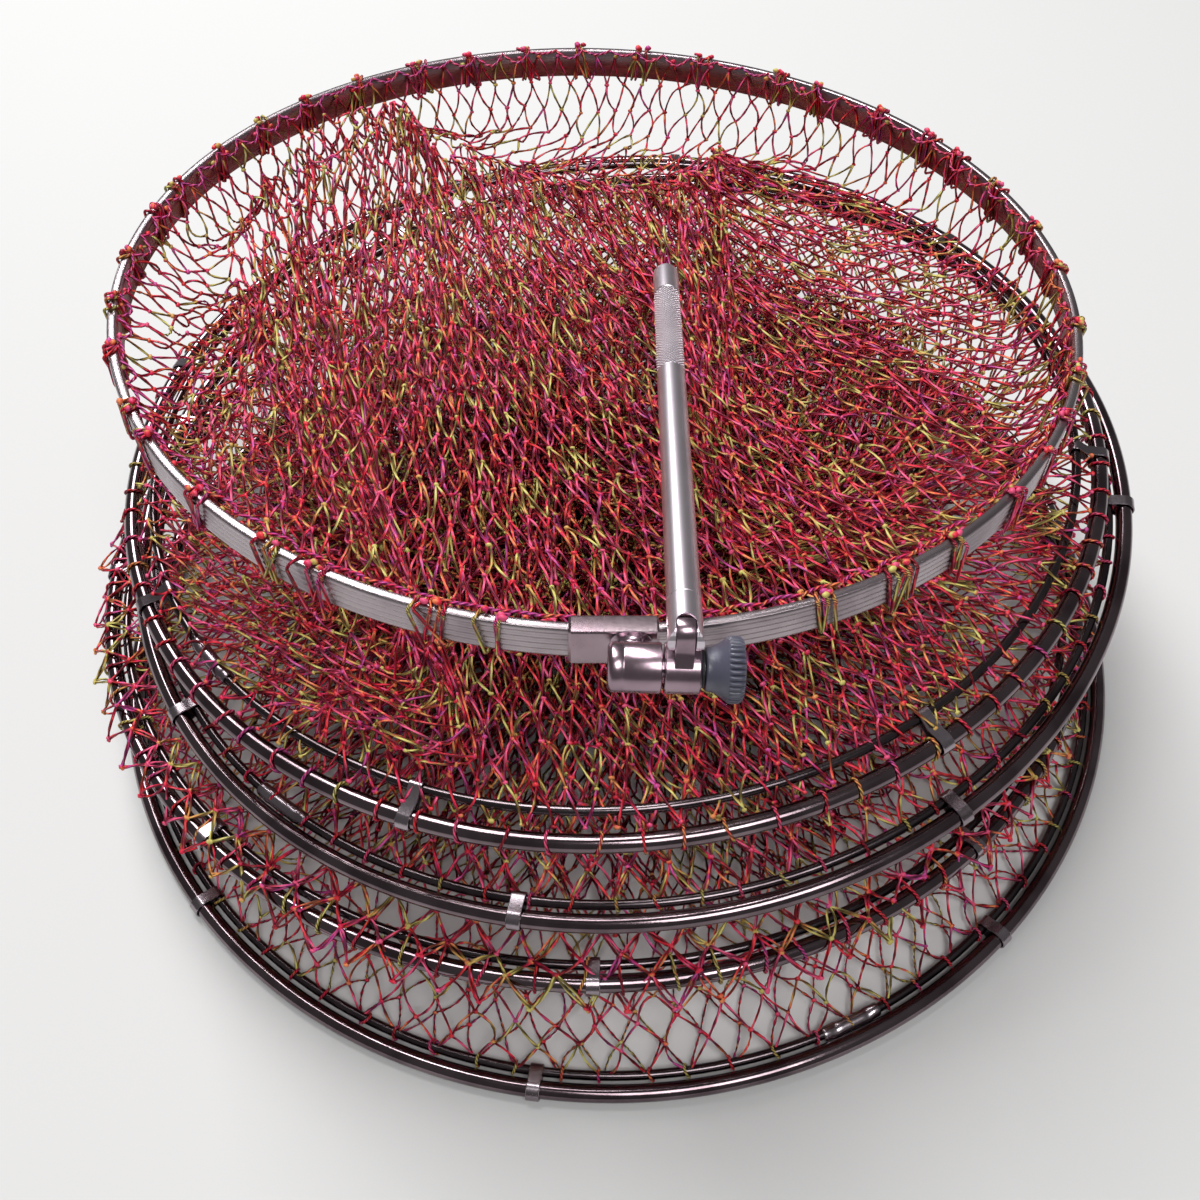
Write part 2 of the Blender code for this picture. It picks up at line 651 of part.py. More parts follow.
    bore_mesh = extruded("fork_bore", circle_outline(PIN_RADIUS + RUNNING_GAP, 12), CUTTER_REACH)
    borer = add_object("fork_bore_guide", bore_mesh, steel, rod)
    boolean(fork, borer, "DIFFERENCE")

    profile = [(-PIN_LENGTH / 2, PIN_RADIUS), (PIN_LENGTH / 2, PIN_RADIUS)]
    add_object("fork_pin", turned("fork_pin", profile, 12, False), steel, rod)

    tube_end = ROD_LENGTH - TIP_LENGTH - TOUCH_GAP
    wall_radius = ROD_RADIUS - ROD_WALL
    profile = [
        (tube_start, wall_radius), (tube_start, ROD_RADIUS),
        (tube_end, ROD_RADIUS), (tube_end, wall_radius),
    ]
    add_object("rod_tube", turned("rod_tube", profile, ROD_SIDES), steel, rod, along_rod)
    tip_start = ROD_LENGTH - TIP_LENGTH
    profile = [(tip_start - SPIGOT_LENGTH, spigot_radius), (tip_start, spigot_radius), (tip_start, ROD_RADIUS)]
    for i in range(TIP_ROUNDING_STEPS):
        share = math.pi / 2 * i / TIP_ROUNDING_STEPS
        profile.append((
            ROD_LENGTH - TIP_ROUNDING * (1 - math.sin(share)),
            ROD_RADIUS - TIP_ROUNDING * (1 - math.cos(share)),
        ))
    profile.append((ROD_LENGTH, ROD_RADIUS - TIP_ROUNDING))
    add_object("rod_tip", turned("rod_tip", profile, ROD_SIDES, False), steel, rod, along_rod)


# Netting

def ring_loop(frame, radius, drop):
    """Points of a level circle in a ring's plane, as world coordinates."""
    points = []
    for i in range(NET_SEGMENTS):
        angle = TAU * i / NET_SEGMENTS
        points.append(frame.matrix_world @ Vector((radius * math.cos(angle), radius * math.sin(angle), -drop)))
    return points


def throat_loop():
    """Points of the gathered throat: a smooth closed curve through the throat line."""
    count = len(THROAT_LINE)
    corners = [Vector(point) for point in THROAT_LINE]
    points = []
    for i in range(NET_SEGMENTS):
        before, share = divmod(i * count / NET_SEGMENTS, 1)
        a, b, c, d = (corners[(int(before) + k) % count] for k in (-1, 0, 1, 2))
        near, far = (c - a) / 2, (d - b) / 2
        turn = share * share * (3 - 2 * share)
        swing = share * (1 - share)
        points.append(b.lerp(c, turn) + near * swing * (1 - share) - far * swing * share)
    return points


def veil_loop(throat, hem, share, sag):
    """Loop between throat and hem, let down in proportion to how far apart they are."""
    points = []
    for near, far in zip(throat, hem):
        reach = min(1.0, (far - near).length / VEIL_REACH)
        points.append(near.lerp(far, share) - Vector((0, 0, sag * reach)))
    return points


def blend_loops(first, second, share, sag=0.0):
    """Loop part of the way between two loops, let down by a sag."""
    return [a.lerp(b, share) - Vector((0, 0, sag)) for a, b in zip(first, second)]


def shell(name, loops, material):
    """A thin closed wall that follows open loops, one after the other."""
    shape = bmesh.new()
    rows = [[shape.verts.new(point) for point in loop] for loop in loops]
    for near, far in zip(rows, rows[1:]):
        for i in range(NET_SEGMENTS):
            j = (i + 1) % NET_SEGMENTS
            shape.faces.new((near[i], near[j], far[j], far[i]))
    mesh = bpy.data.meshes.new(name)
    shape.to_mesh(mesh)
    shape.free()
    mesh.shade_smooth()
    item = add_object(name, mesh, material)
    wall = item.modifiers.new("Solidify", "SOLIDIFY")
    wall.thickness = NET_WALL
    wall.offset = 0.0
    return item


def build_netting(mouth_frame, rings, net):
    """The closed walls that stand for the bag between the rings, and the bottom net."""
    seat = band_reach(WIRE_RADIUS) * CLIP_CORNER + TOUCH_GAP + NET_HEM
    under_strip = STRIP_HEIGHT / 2 + TOUCH_GAP
    under_sleeve = under_strip + SLEEVE_WALL / 2 + NET_HEM
    strip_middle = MOUTH_RADIUS - STRIP_THICKNESS / 2

    first = rings[0]
    top = ring_loop(mouth_frame, strip_middle, under_sleeve)
    hem = ring_loop(mouth_frame, strip_middle - VEIL_DRAW_IN, under_sleeve + VEIL_DROP)
    low = ring_loop(first.frame, first.radius - first.inset, -first.rise - seat)
    throat = throat_loop()
    veil = [veil_loop(throat, hem, share, sag) for share, sag in zip(VEIL_SHARES, VEIL_SAGS)]
    fan_start = blend_loops(throat, low, FAN_START, FAN_FOLD)
    fan = blend_loops(fan_start, low, FAN_MIDDLE, FAN_SAG)
    shell("net_section_1", [top, hem, *veil, throat, fan_start, fan, low], net)

    base = rings[-1]
    clip_face = base.radius - base.inset - band_reach(WIRE_RADIUS) - TOUCH_GAP
    rim = clip_face - FLOOR_NET_RIM_ROOM
    floor_hem = clip_face - NET_WALL / 2
    hem_height = FLOOR_NET_HEIGHT + FLOOR_NET_CORD / 2 + TOUCH_GAP + NET_HEM
    for i, (upper, lower) in enumerate(zip(rings, rings[1:])):
        top = ring_loop(upper.frame, upper.radius - upper.inset, seat - upper.rise)
        low = ring_loop(lower.frame, lower.radius - lower.inset, -lower.rise - seat)
        if lower is base:
            low = ring_loop(base.frame, floor_hem, base.frame.location.z - hem_height)
        inner = min(upper.radius, lower.radius) - WIRE_INSET - NET_FOLD_DEPTH
        upper_fold = ring_loop(upper.frame, inner, seat - upper.rise)
        lower_fold = ring_loop(lower.frame, inner, -lower.rise - seat)
        fold = blend_loops(upper_fold, lower_fold, 0.5)
        shell(f"net_section_{i + 2}", [top, fold, low], net)

    # The bottom net: diamonds between the inner wire and a gathered eye
    shape = bmesh.new()
    rows = []
    for j in range(FLOOR_NET_ROWS):
        share = j / (FLOOR_NET_ROWS - 1)
        reach = FLOOR_NET_EYE_RADIUS + (rim - FLOOR_NET_EYE_RADIUS) * share ** FLOOR_NET_GATHERING
        turn = 0.5 * (j % 2)
        row = []
        for i in range(FLOOR_NET_COUNT):
            angle = TAU * (i + turn) / FLOOR_NET_COUNT
            row.append(shape.verts.new((reach * math.cos(angle), reach * math.sin(angle), 0.0)))
        rows.append(row)
    for j in range(FLOOR_NET_ROWS - 2):
        shift = j % 2
        for i in range(FLOOR_NET_COUNT):
            following = (i + 1) % FLOOR_NET_COUNT
            before = (i - 1) % FLOOR_NET_COUNT
            left, right = (i, following) if shift else (before, i)
            shape.faces.new((rows[j][i], rows[j + 1][right], rows[j + 2][i], rows[j + 1][left]))
    for j, inner_row in ((0, True), (FLOOR_NET_ROWS - 1, False)):
        shift = j % 2
        near = rows[1] if inner_row else rows[-2]
        for i in range(FLOOR_NET_COUNT):
            following = (i + 1) % FLOOR_NET_COUNT
            tip = following if shift else i
            shape.faces.new((rows[j][i], rows[j][following], near[tip]))
    bmesh.ops.recalc_face_normals(shape, faces=shape.faces)
    mesh = bpy.data.meshes.new("bottom_net")
    shape.to_mesh(mesh)
    shape.free()
    place = Matrix.Translation((0, 0, FLOOR_NET_HEIGHT - base.frame.location.z))
    bottom = add_object("bottom_net", mesh, net, base.frame, place)
    cords = bottom.modifiers.new("Wireframe", "WIREFRAME")
    cords.thickness = FLOOR_NET_CORD
    cords.use_boundary = True
    cords.use_replace = True
    cords.use_even_offset = True


def build():
    clear_scene()
    strip_metal = make_material("satin_aluminium", (0.55, 0.52, 0.55), 0.38, 0.9)
    sleeve_metal = make_material("bright_sleeve", (0.62, 0.60, 0.62), 0.30, 0.9)
    steel = make_material("polished_steel", (0.50, 0.44, 0.46), 0.16, 1.0)
    tube_metal = make_material("dark_chromed_tube", (0.30, 0.27, 0.29), 0.22, 1.0)
    clip_metal = make_material("clip_sheet", (0.48, 0.42, 0.46), 0.30, 1.0)
    knob_plastic = make_material("knob_plastic", (0.10, 0.12, 0.17), 0.42, 0.0)
    dark = make_material("washer_black", (0.02, 0.02, 0.02), 0.6, 0.0)
    net = make_material("net_twine", (0.45, 0.06, 0.10), 0.55, 0.0)

    base_height = band_reach(TUBE_RADIUS)
    height_3 = base_height + lift(RING_4_SLOPE, RING_3_SLOPE, RING_4_RADIUS, SLACK_34)
    height_2 = height_3 + lift(RING_3_SLOPE, RING_2_SLOPE, RING_3_RADIUS, SLACK_23)
    height_1 = height_2 + lift(RING_2_SLOPE, RING_1_SLOPE, RING_2_RADIUS, SLACK_12)
    mouth_height = height_1 + lift(RING_1_SLOPE, MOUTH_SLOPE, RING_1_RADIUS, MOUTH_SLACK)

    rings = [
        Ring("ring_1", RING_1_RADIUS, WIRE_INSET_1, WIRE_RISE_1,
             (-152.6, -110.3, -57.0, -11.1, 34.0, 79.0, 124.0, 166.0), math.radians(-140.0),
             ring_frame("ring_1_frame", RING_1_MIDDLE, height_1, RING_1_SLOPE)),
        Ring("ring_2", RING_2_RADIUS, WIRE_INSET, WIRE_RISE,
             (-146.0, -101.1, -57.2, -12.0, 33.0, 78.0, 123.0, 168.0), math.radians(-128.5),
             ring_frame("ring_2_frame", RING_2_MIDDLE, height_2, RING_2_SLOPE)),
        Ring("ring_3", RING_3_RADIUS, WIRE_INSET, WIRE_RISE,
             (-174.3, -133.1, -90.9, -49.9, -5.0, 40.0, 85.0, 130.0), math.radians(62.0),
             ring_frame("ring_3_frame", RING_3_MIDDLE, height_3, RING_3_SLOPE)),
        Ring("ring_4", RING_4_RADIUS, WIRE_INSET, 0.0,
             (-138.9, -98.6, -48.7, -4.0, 41.0, 86.0, 131.0, 176.0), math.radians(-67.0),
             ring_frame("ring_4_frame", RING_4_MIDDLE, base_height, RING_4_SLOPE)),
    ]
    for i, ring in enumerate(rings):
        build_pair(ring, i + 1, tube_metal, clip_metal)
    mouth_frame = ring_frame("mouth_frame", MOUTH_MIDDLE, mouth_height, MOUTH_SLOPE)
    bpy.context.view_layer.update()
    build_mouth(mouth_frame, strip_metal, sleeve_metal)
    build_head(mouth_frame, steel, knob_plastic, dark)
    build_netting(mouth_frame, rings, net)


build()
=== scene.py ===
# %% [markdown]
# # A keepnet, folded flat on the ground
#
# The real object is a long fishing keepnet that has been let down into a stack: a flat mouth ring
# with a clamp hinge and a rod, four pairs of metal rings below it, and one tube of hand-knotted
# netting that joins them all. The metal is simple to describe, so most of this file is netting.
# Everything is in metres, +Z is up, the hinge is towards -Y and the ground is at Z = 0.

# %% Load the frame
import bpy
import numpy as np
from mathutils import Matrix, Vector


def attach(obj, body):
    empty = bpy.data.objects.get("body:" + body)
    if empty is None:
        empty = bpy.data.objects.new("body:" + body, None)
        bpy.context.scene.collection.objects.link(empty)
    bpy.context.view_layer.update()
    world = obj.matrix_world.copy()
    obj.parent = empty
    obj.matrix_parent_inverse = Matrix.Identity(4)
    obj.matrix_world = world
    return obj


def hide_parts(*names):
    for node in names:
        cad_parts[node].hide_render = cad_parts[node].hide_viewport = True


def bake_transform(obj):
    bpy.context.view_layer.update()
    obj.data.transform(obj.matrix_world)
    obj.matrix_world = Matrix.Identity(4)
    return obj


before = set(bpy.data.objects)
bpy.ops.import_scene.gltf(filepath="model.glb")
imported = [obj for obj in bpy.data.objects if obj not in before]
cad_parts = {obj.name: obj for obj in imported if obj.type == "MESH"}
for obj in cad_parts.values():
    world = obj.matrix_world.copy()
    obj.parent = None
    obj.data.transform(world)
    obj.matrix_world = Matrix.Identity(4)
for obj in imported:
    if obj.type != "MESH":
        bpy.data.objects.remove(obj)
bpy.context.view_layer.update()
TURN = 2 * np.pi
rng = np.random.default_rng(11)


# %% [markdown]
# ## The camera
#
# The photograph looks down at about fifty degrees from in front of the hinge, fairly close, so the
# near side of each ring looks much larger than the far side. A long way off with a longer lens
# would flatten that, so the camera stands where the photographer's did: 46 cm above the ground.

# %% Camera
EYE = np.array([0.0005, -0.3570, 0.4629])
TILT, ROLL = np.radians(51.41), np.radians(-1.41)
PHOTO_PIXELS = 1200
SHIFT_RIGHT, SHIFT_UP = -14.6 / PHOTO_PIXELS, -17.2 / PHOTO_PIXELS

forward = np.array([0.0, np.cos(TILT), -np.sin(TILT)])
level = np.array([1.0, 0.0, 0.0])
over = np.cross(level, forward)
sideways = np.cos(ROLL) * level + np.sin(ROLL) * over
upwards = np.cos(ROLL) * over - np.sin(ROLL) * level

camera = bpy.data.objects.new("camera", bpy.data.cameras.new("camera"))
bpy.context.scene.collection.objects.link(camera)
stance = np.column_stack([sideways, upwards, -forward, EYE])
camera.matrix_world = Matrix(np.vstack([stance, [0, 0, 0, 1]]).tolist())
camera.data.lens = 36
camera.data.sensor_width = 36
camera.data.shift_x = SHIFT_RIGHT
camera.data.shift_y = SHIFT_UP
camera.data.clip_start = 0.01
bpy.context.scene.camera = camera
print("camera at", EYE, "looking", forward.round(3))

# %% [markdown]
# ## Arrays into meshes
#
# Every new piece below is an array of points worked out with numpy. Blender reads such an array in
# one step, which is hundreds of times faster than adding vertices one by one. The sum of the small
# pyramids from the origin to each face is the volume, and its sign tells whether the faces point
# outwards, so a piece that came out inside out is turned round here.

# %% From points to a mesh
def lay_mesh(name, points, groups, uv=None, sharp=None):
    """One mesh from points (n, 3) and groups of faces (m, corners), turned so that its volume is positive."""
    points = points.reshape(-1, 3)
    first, second, third = (points[groups[0][:, k]] for k in range(3))
    inside_out = (first * np.cross(second, third)).sum() + (
        (first * np.cross(third, points[groups[0][:, -1]])).sum() if groups[0].shape[1] == 4 else 0.0
    ) < 0
    if inside_out:
        groups = [group[:, ::-1] for group in groups]
        uv = None if uv is None else [part[:, ::-1] for part in uv]
    corners = np.concatenate([group.ravel() for group in groups]).astype(np.int32)
    sizes = np.concatenate([np.full(len(group), group.shape[1]) for group in groups])
    mesh = bpy.data.meshes.new(name)
    mesh.vertices.add(len(points))
    mesh.vertices.foreach_set("co", points.astype(np.float32).ravel())
    mesh.loops.add(len(corners))
    mesh.loops.foreach_set("vertex_index", corners)
    mesh.polygons.add(len(sizes))
    mesh.polygons.foreach_set("loop_start", (np.cumsum(sizes) - sizes).astype(np.int32))
    if uv is not None:
        layer = mesh.uv_layers.new(name="along")
        layer.data.foreach_set("uv", np.concatenate([part.ravel() for part in uv]).astype(np.float32))
    mesh.update(calc_edges=True)
    mesh.shade_smooth()
    if sharp is not None:
        mesh.set_sharp_from_angle(angle=np.radians(sharp))
    piece = bpy.data.objects.new(name, mesh)
    bpy.context.scene.collection.objects.link(piece)
    return piece


def grid_faces(rows, columns, wrap_rows, wrap_columns=True):
    """Faces of a grid of points, and the row and column of each corner before it wraps round."""
    row, column = np.meshgrid(
        np.arange(rows - (not wrap_rows)), np.arange(columns - (not wrap_columns)), indexing="ij")
    step = np.array([[0, 0], [0, 1], [1, 1], [1, 0]])
    place = np.stack([row.reshape(-1, 1) + step[:, 0], column.reshape(-1, 1) + step[:, 1]], -1)
    return (place[..., 0] % rows) * columns + place[..., 1] % columns, place


def tube_faces(copies, stations, sides, closed, scale):
    """Faces and UV places of copies of a tube, with a flat cap at each open end."""
    faces, place = grid_faces(stations, sides, closed)
    start = np.arange(copies)[:, None] * stations * sides
    groups = [(faces + start[..., None]).reshape(-1, 4)]
    uv = [np.tile(place * np.array(scale), (copies, 1, 1)).astype(float)]
    if not closed:
        ring = np.arange(sides)
        caps = np.concatenate([start + ring[::-1], start + (stations - 1) * sides + ring])
        groups.append(caps)
        uv.append(np.zeros(caps.shape + (2,)))
    return groups, uv


def lay_tubes(name, points, closed=False, scale=(1.0, 1.0), sharp=None):
    """Copies of a tube as one mesh, from points (copies, stations, sides, 3)."""
    groups, uv = tube_faces(*points.shape[:3], closed, scale)
    return lay_mesh(name, points, groups, uv, sharp)


print("mesh helpers ready")

# %% [markdown]
# ## Sections along paths
#
# A ring, a clip, a twine and a lashing are all the same idea: a small outline carried along a path.
# At each station of the path two directions are needed that are square to it. They come from one
# hint direction, with the part that runs along the path taken away.

# %% Carrying a section
def unit(vectors):
    """Vectors divided by their lengths."""
    return vectors / np.maximum(np.linalg.norm(vectors, axis=-1, keepdims=True), 1e-12)


def square_to(path, hint, closed=False):
    """Two unit directions square to a path: the hint less its part along the path, and the cross product
    of the path's direction with that."""
    step = np.roll(path, -1, -2) - np.roll(path, 1, -2)
    if not closed:
        step[..., 0, :] = path[..., 1, :] - path[..., 0, :]
        step[..., -1, :] = path[..., -1, :] - path[..., -2, :]
    along = unit(step)
    across = unit(hint - (hint * along).sum(-1, keepdims=True) * along)
    return across, np.cross(along, across)


def carry(path, across, up, section):
    """Point = path + across * first + up * second, for each station and each corner of the section."""
    section = np.broadcast_to(section, path.shape[:-1] + section.shape[-2:])
    return path[..., None, :] + section[..., :1] * across[..., None, :] + section[..., 1:] * up[..., None, :]


def round_section(radius, sides, start=0.5):
    """Corners of a circle: radius times the cosine and sine of equal steps."""
    angle = TURN * (np.arange(sides) + start) / sides
    return radius * np.stack([np.cos(angle), np.sin(angle)], -1)


def headings_round(places):
    """Angles in radians of places spread evenly round a turn."""
    return TURN * np.arange(places) / places


def through(points, at, closed=False):
    """Smooth curve through points, where each stretch is a cubic whose slope at a point is half the step
    between that point's neighbours. at counts points, so 2.5 is halfway between the third and fourth."""
    count = len(points)
    before = np.floor(at).astype(int)
    if not closed:
        before = np.clip(before, 0, count - 2)
    share = (at - before).reshape((-1,) + (1,) * (points.ndim - 1))
    index = [before - 1, before, before + 1, before + 2]
    index = [i % count if closed else np.clip(i, 0, count - 1) for i in index]
    a, b, c, d = (points[i] for i in index)
    return b + 0.5 * share * (c - a + share * (2 * a - 5 * b + 4 * c - d + share * (3 * (b - c) + d - a)))


print("a circle of four corners:", round_section(1.0, 4).round(2).tolist())

# %% [markdown]
# ## Where the rings lie
#
# Each ring of the folded net lies a little askew on the one below. A ring's place is its middle,
# its height, and how much its plane rises along X and along Y. These are the same sizes that the
# CAD part has, so the smooth rings made here take the place of its plain ones exactly.

# %% Places of the rings
def leaning(middle, height, slope):
    """Rotation and origin of a ring whose plane rises by slope along X and Y."""
    normal = Vector((-slope[0], -slope[1], 1.0)).normalized()
    rotation = Vector((0, 0, 1)).rotation_difference(normal).to_matrix()
    return np.array(rotation), np.array([*middle, height])


def on_ring(place, radius, angle, up=0.0):
    """Points at an angle of a ring: radius times cosine and sine in its plane, and up square to it."""
    radius, angle, up = np.broadcast_arrays(radius, angle, up)
    flat = np.stack([radius * np.cos(angle), radius * np.sin(angle), up], -1)
    return flat @ place[0].T + place[1]


MOUTH = leaning((-0.0020, 0.0122), 0.183336, (-0.0489, -0.0468))
RING_PLACES = [
    leaning((-0.0003, 0.0230), 0.101108, (0.0375, -0.0206)),
    leaning((0.0045, 0.0156), 0.081111, (0.0634, 0.0185)),
    leaning((-0.0072, 0.0110), 0.036964, (-0.0244, -0.0711)),
    leaning((0.0, -0.0046), 0.004250, (0.0, 0.0)),
]
MOUTH_RADIUS = 0.175
STRIP_HEIGHT = 0.0123
STRIP_THICKNESS = 0.0032
RING_RADIUS = [0.203, 0.211, 0.218, 0.225]
TUBE_RADIUS = 0.00325
WIRE_RADIUS = 0.0018
WIRE_IN = [0.0098, 0.0063, 0.0063, 0.0063]
WIRE_UP = [0.0040, 0.0008, 0.0008, 0.0]
BODIES = ["ring_1", "ring_2", "ring_3", "bottom"]
for number, (place, radius) in enumerate(zip(RING_PLACES, RING_RADIUS), 1):
    print("ring", number, "radius", radius, "middle", place[1].round(4).tolist())

# %% [markdown]
# ## Shader maths in plain expressions
#
# A material is a graph of nodes, and writing out each link hides what it does. Here a small class
# wraps the output socket of a node, so that an expression such as 1 - mask * 0.3 adds the Math
# nodes for it. Every other node comes from one method that is given the node's type, its settings
# and what goes into its sockets.

# %% A value, and a finish that values feed
class Value:
    """A number, colour or vector that varies over a surface."""

    def __init__(self, finish, socket):
        self.finish, self.socket = finish, socket

    def maths(self, operation, *terms):
        return self.finish.node("Math", {"operation": operation}, dict(enumerate(terms)))

    def __add__(self, other):
        return self.maths("ADD", self, other)

    def __radd__(self, other):
        return self.maths("ADD", other, self)

    def __sub__(self, other):
        return self.maths("SUBTRACT", self, other)

    def __rsub__(self, other):
        return self.maths("SUBTRACT", other, self)

    def __mul__(self, other):
        return self.maths("MULTIPLY", self, other)

    def __rmul__(self, other):
        return self.maths("MULTIPLY", other, self)

    def wave(self):
        """Sine of this value times a full turn, brought to 0..1."""
        return self.maths("SINE", self * TURN) * 0.5 + 0.5

    def step(self, low, high):
        """0 below low, 1 above high, with a soft change between."""
        return self.finish.node("MapRange", {"interpolation_type": "SMOOTHSTEP"},
                                {"Value": self, "From Min": low, "From Max": high})


class Finish:
    """One Principled material. Constants go straight to its sockets, and feed() links what varies."""

    def __init__(self, name, **constants):
        self.material = bpy.data.materials.new(name)
        self.material.use_nodes = True
        self.tree = self.material.node_tree
        self.shader = self.tree.nodes["Principled BSDF"]
        for socket, value in constants.items():
            self.shader.inputs[socket.replace("_", " ")].default_value = value

    def node(self, kind, settings=None, inputs=None, output=0):
        """Adds a ShaderNode of a kind, sets it up, links or sets its sockets, and returns one output."""
        node = self.tree.nodes.new("ShaderNode" + kind)
        for key, value in (settings or {}).items():
            if key == "stops":
                ramp = node.color_ramp
                while len(ramp.elements) < len(value):
                    ramp.elements.new(0.5)
                for element, (position, colour) in zip(ramp.elements, value):
                    element.position, element.color = position, (*colour, 1.0)
            else:
                setattr(node, key, value)
        for key, value in (inputs or {}).items():
            if isinstance(value, Value):
                self.tree.links.new(value.socket, node.inputs[key])
            else:
                node.inputs[key].default_value = value
        return Value(self, node.outputs[output])

    def places(self):
        """Object coordinates."""
        return self.node("TexCoord", output="Object")

    def along_and_around(self):
        """The two parts of a piece's own UV map: how far along it and how far round it."""
        uv = self.node("SeparateXYZ", {}, {"Vector": self.node("UVMap", {"uv_map": "along"})})
        return uv, Value(self, uv.socket.node.outputs["Y"])

    def noise(self, scale, detail=3.0, stretch=None, vector=None):
        """Cloudy noise in 0..1 on Object coordinates, or on another vector, stretched per axis."""
        vector = vector or self.places()
        if stretch:
            vector = self.node("Mapping", {}, {"Vector": vector, "Scale": stretch})
        return self.node("TexNoise", {}, {"Vector": vector, "Scale": scale, "Detail": detail})

    def mix(self, factor, first, second):
        """Colour between first and second."""
        first = first if isinstance(first, Value) else (*first, 1.0)
        second = second if isinstance(second, Value) else (*second, 1.0)
        return self.node("Mix", {"data_type": "RGBA"}, {0: factor, 6: first, 7: second}, 2)

    def feed(self, **links):
        """Links values to the shader's sockets, such as Base_Color."""
        for socket, value in links.items():
            self.tree.links.new(value.socket, self.shader.inputs[socket.replace("_", " ")])
        return self

    def emboss(self, height, depth):
        """A Bump node whose height is in 0..1 and whose full depth is in metres, into Normal."""
        self.feed(Normal=self.node("Bump", {}, {"Height": height, "Distance": depth, "Strength": 1.0}))
        return self


print("finish helpers ready")

# %% [markdown]
# ## Finishes of the metal
#
# The mouth strip is drawn aluminium with a satin face, so its streaks run along the strip: noise
# that is stretched along the piece's own UV map does that. The ring tubes are dark chrome, glossy
# but handled, so their roughness is cloudy and a very fine grain breaks it up. The hinge is
# polished steel, and the clips are bent from sheet that has gone dull in patches.

# %% Metal finishes
def metal(name, colour, dull, roughness, spread, grain=900.0, depth=0.00001, stretch=None):
    """A metal whose colour goes between two tones and whose roughness spreads about a mean, both by noise."""
    finish = Finish(name, Metallic=1.0)
    vector = finish.node("UVMap", {"uv_map": "along"}) if stretch else None
    cloud = finish.noise(45.0, 4.0)
    fine = finish.noise(grain, 2.0, stretch, vector)
    finish.feed(Base_Color=finish.mix(cloud.step(0.35, 0.7), colour, dull),
                Roughness=cloud * spread + fine * spread + (roughness - spread))
    return finish.emboss(fine, depth).material


strip_finish = metal("satin_aluminium", (0.46, 0.40, 0.42), (0.30, 0.25, 0.27), 0.28, 0.12,
                     grain=40.0, depth=0.00003, stretch=(0.6, 30.0, 1.0))
sleeve_finish = metal("bright_sleeve", (0.42, 0.33, 0.36), (0.29, 0.21, 0.24), 0.25, 0.10)
steel_finish = metal("polished_steel", (0.42, 0.31, 0.36), (0.27, 0.19, 0.23), 0.25, 0.09)
tube_finish = metal("dark_chromed_tube", (0.220, 0.170, 0.185), (0.110, 0.080, 0.090), 0.13, 0.08)
wire_finish = metal("dark_wire", (0.120, 0.098, 0.105), (0.060, 0.046, 0.050), 0.18, 0.10)
clip_finish = metal("clip_sheet", (0.38, 0.33, 0.36), (0.22, 0.18, 0.20), 0.24, 0.12)
print("metal finishes:", 6)

# %% [markdown]
# The rod is a polished tube with a band of diamond knurling below its tip. A knurl is two sets of
# parallel grooves that cross, so the height is the product of two waves that lean opposite ways
# round the tube. A mask along the rod keeps it to its band.

# %% Rod finish
KNURL_START, KNURL_END = 0.1240, 0.1760
GROOVES_PER_METRE, GROOVES_ROUND = 620.0, 24.0

knurled = Finish("knurled_rod", Metallic=1.0)
rod_along, rod_around = knurled.along_and_around()
along_wave, around_wave = rod_along * GROOVES_PER_METRE, rod_around * GROOVES_ROUND
knurl = (along_wave + around_wave).wave() * (along_wave - around_wave).wave()
below_end = 1 - rod_along.step(KNURL_END, KNURL_END + 0.001)
band = rod_along.step(KNURL_START, KNURL_START + 0.001) * below_end
rod_cloud = knurled.noise(60.0, 4.0)
knurled.feed(
    Base_Color=knurled.mix(rod_cloud.step(0.35, 0.75), (0.80, 0.73, 0.79), (0.66, 0.59, 0.65)),
    Roughness=rod_cloud * 0.10 + band * 0.06 + 0.30)
rod_finish = knurled.emboss(knurl * band, 0.0009).material
print("knurl from", KNURL_START, "to", KNURL_END, "m along the rod")

# %% [markdown]
# The knob is a dark blue-grey moulded plastic with a fine spark-eroded grain, and the washer beside
# it is plain black fibre.

# %% Plastic finishes
def moulded(name, colour, worn, roughness, depth):
    """A plastic with a grain of small pits, paler where it is rubbed."""
    finish = Finish(name, Metallic=0.0)
    grain = finish.noise(2600.0, 2.0)
    rubbed = finish.noise(160.0, 4.0)
    finish.feed(Base_Color=finish.mix(rubbed.step(0.5, 0.8), colour, worn),
                Roughness=rubbed * 0.25 + (roughness - 0.12))
    return finish.emboss(grain, depth).material


knob_finish = moulded("knob_plastic", (0.078, 0.078, 0.112), (0.150, 0.150, 0.195), 0.34, 0.00006)
washer_finish = moulded("washer_fibre", (0.012, 0.012, 0.014), (0.03, 0.03, 0.03), 0.6, 0.00004)
print("plastic finishes:", 2)
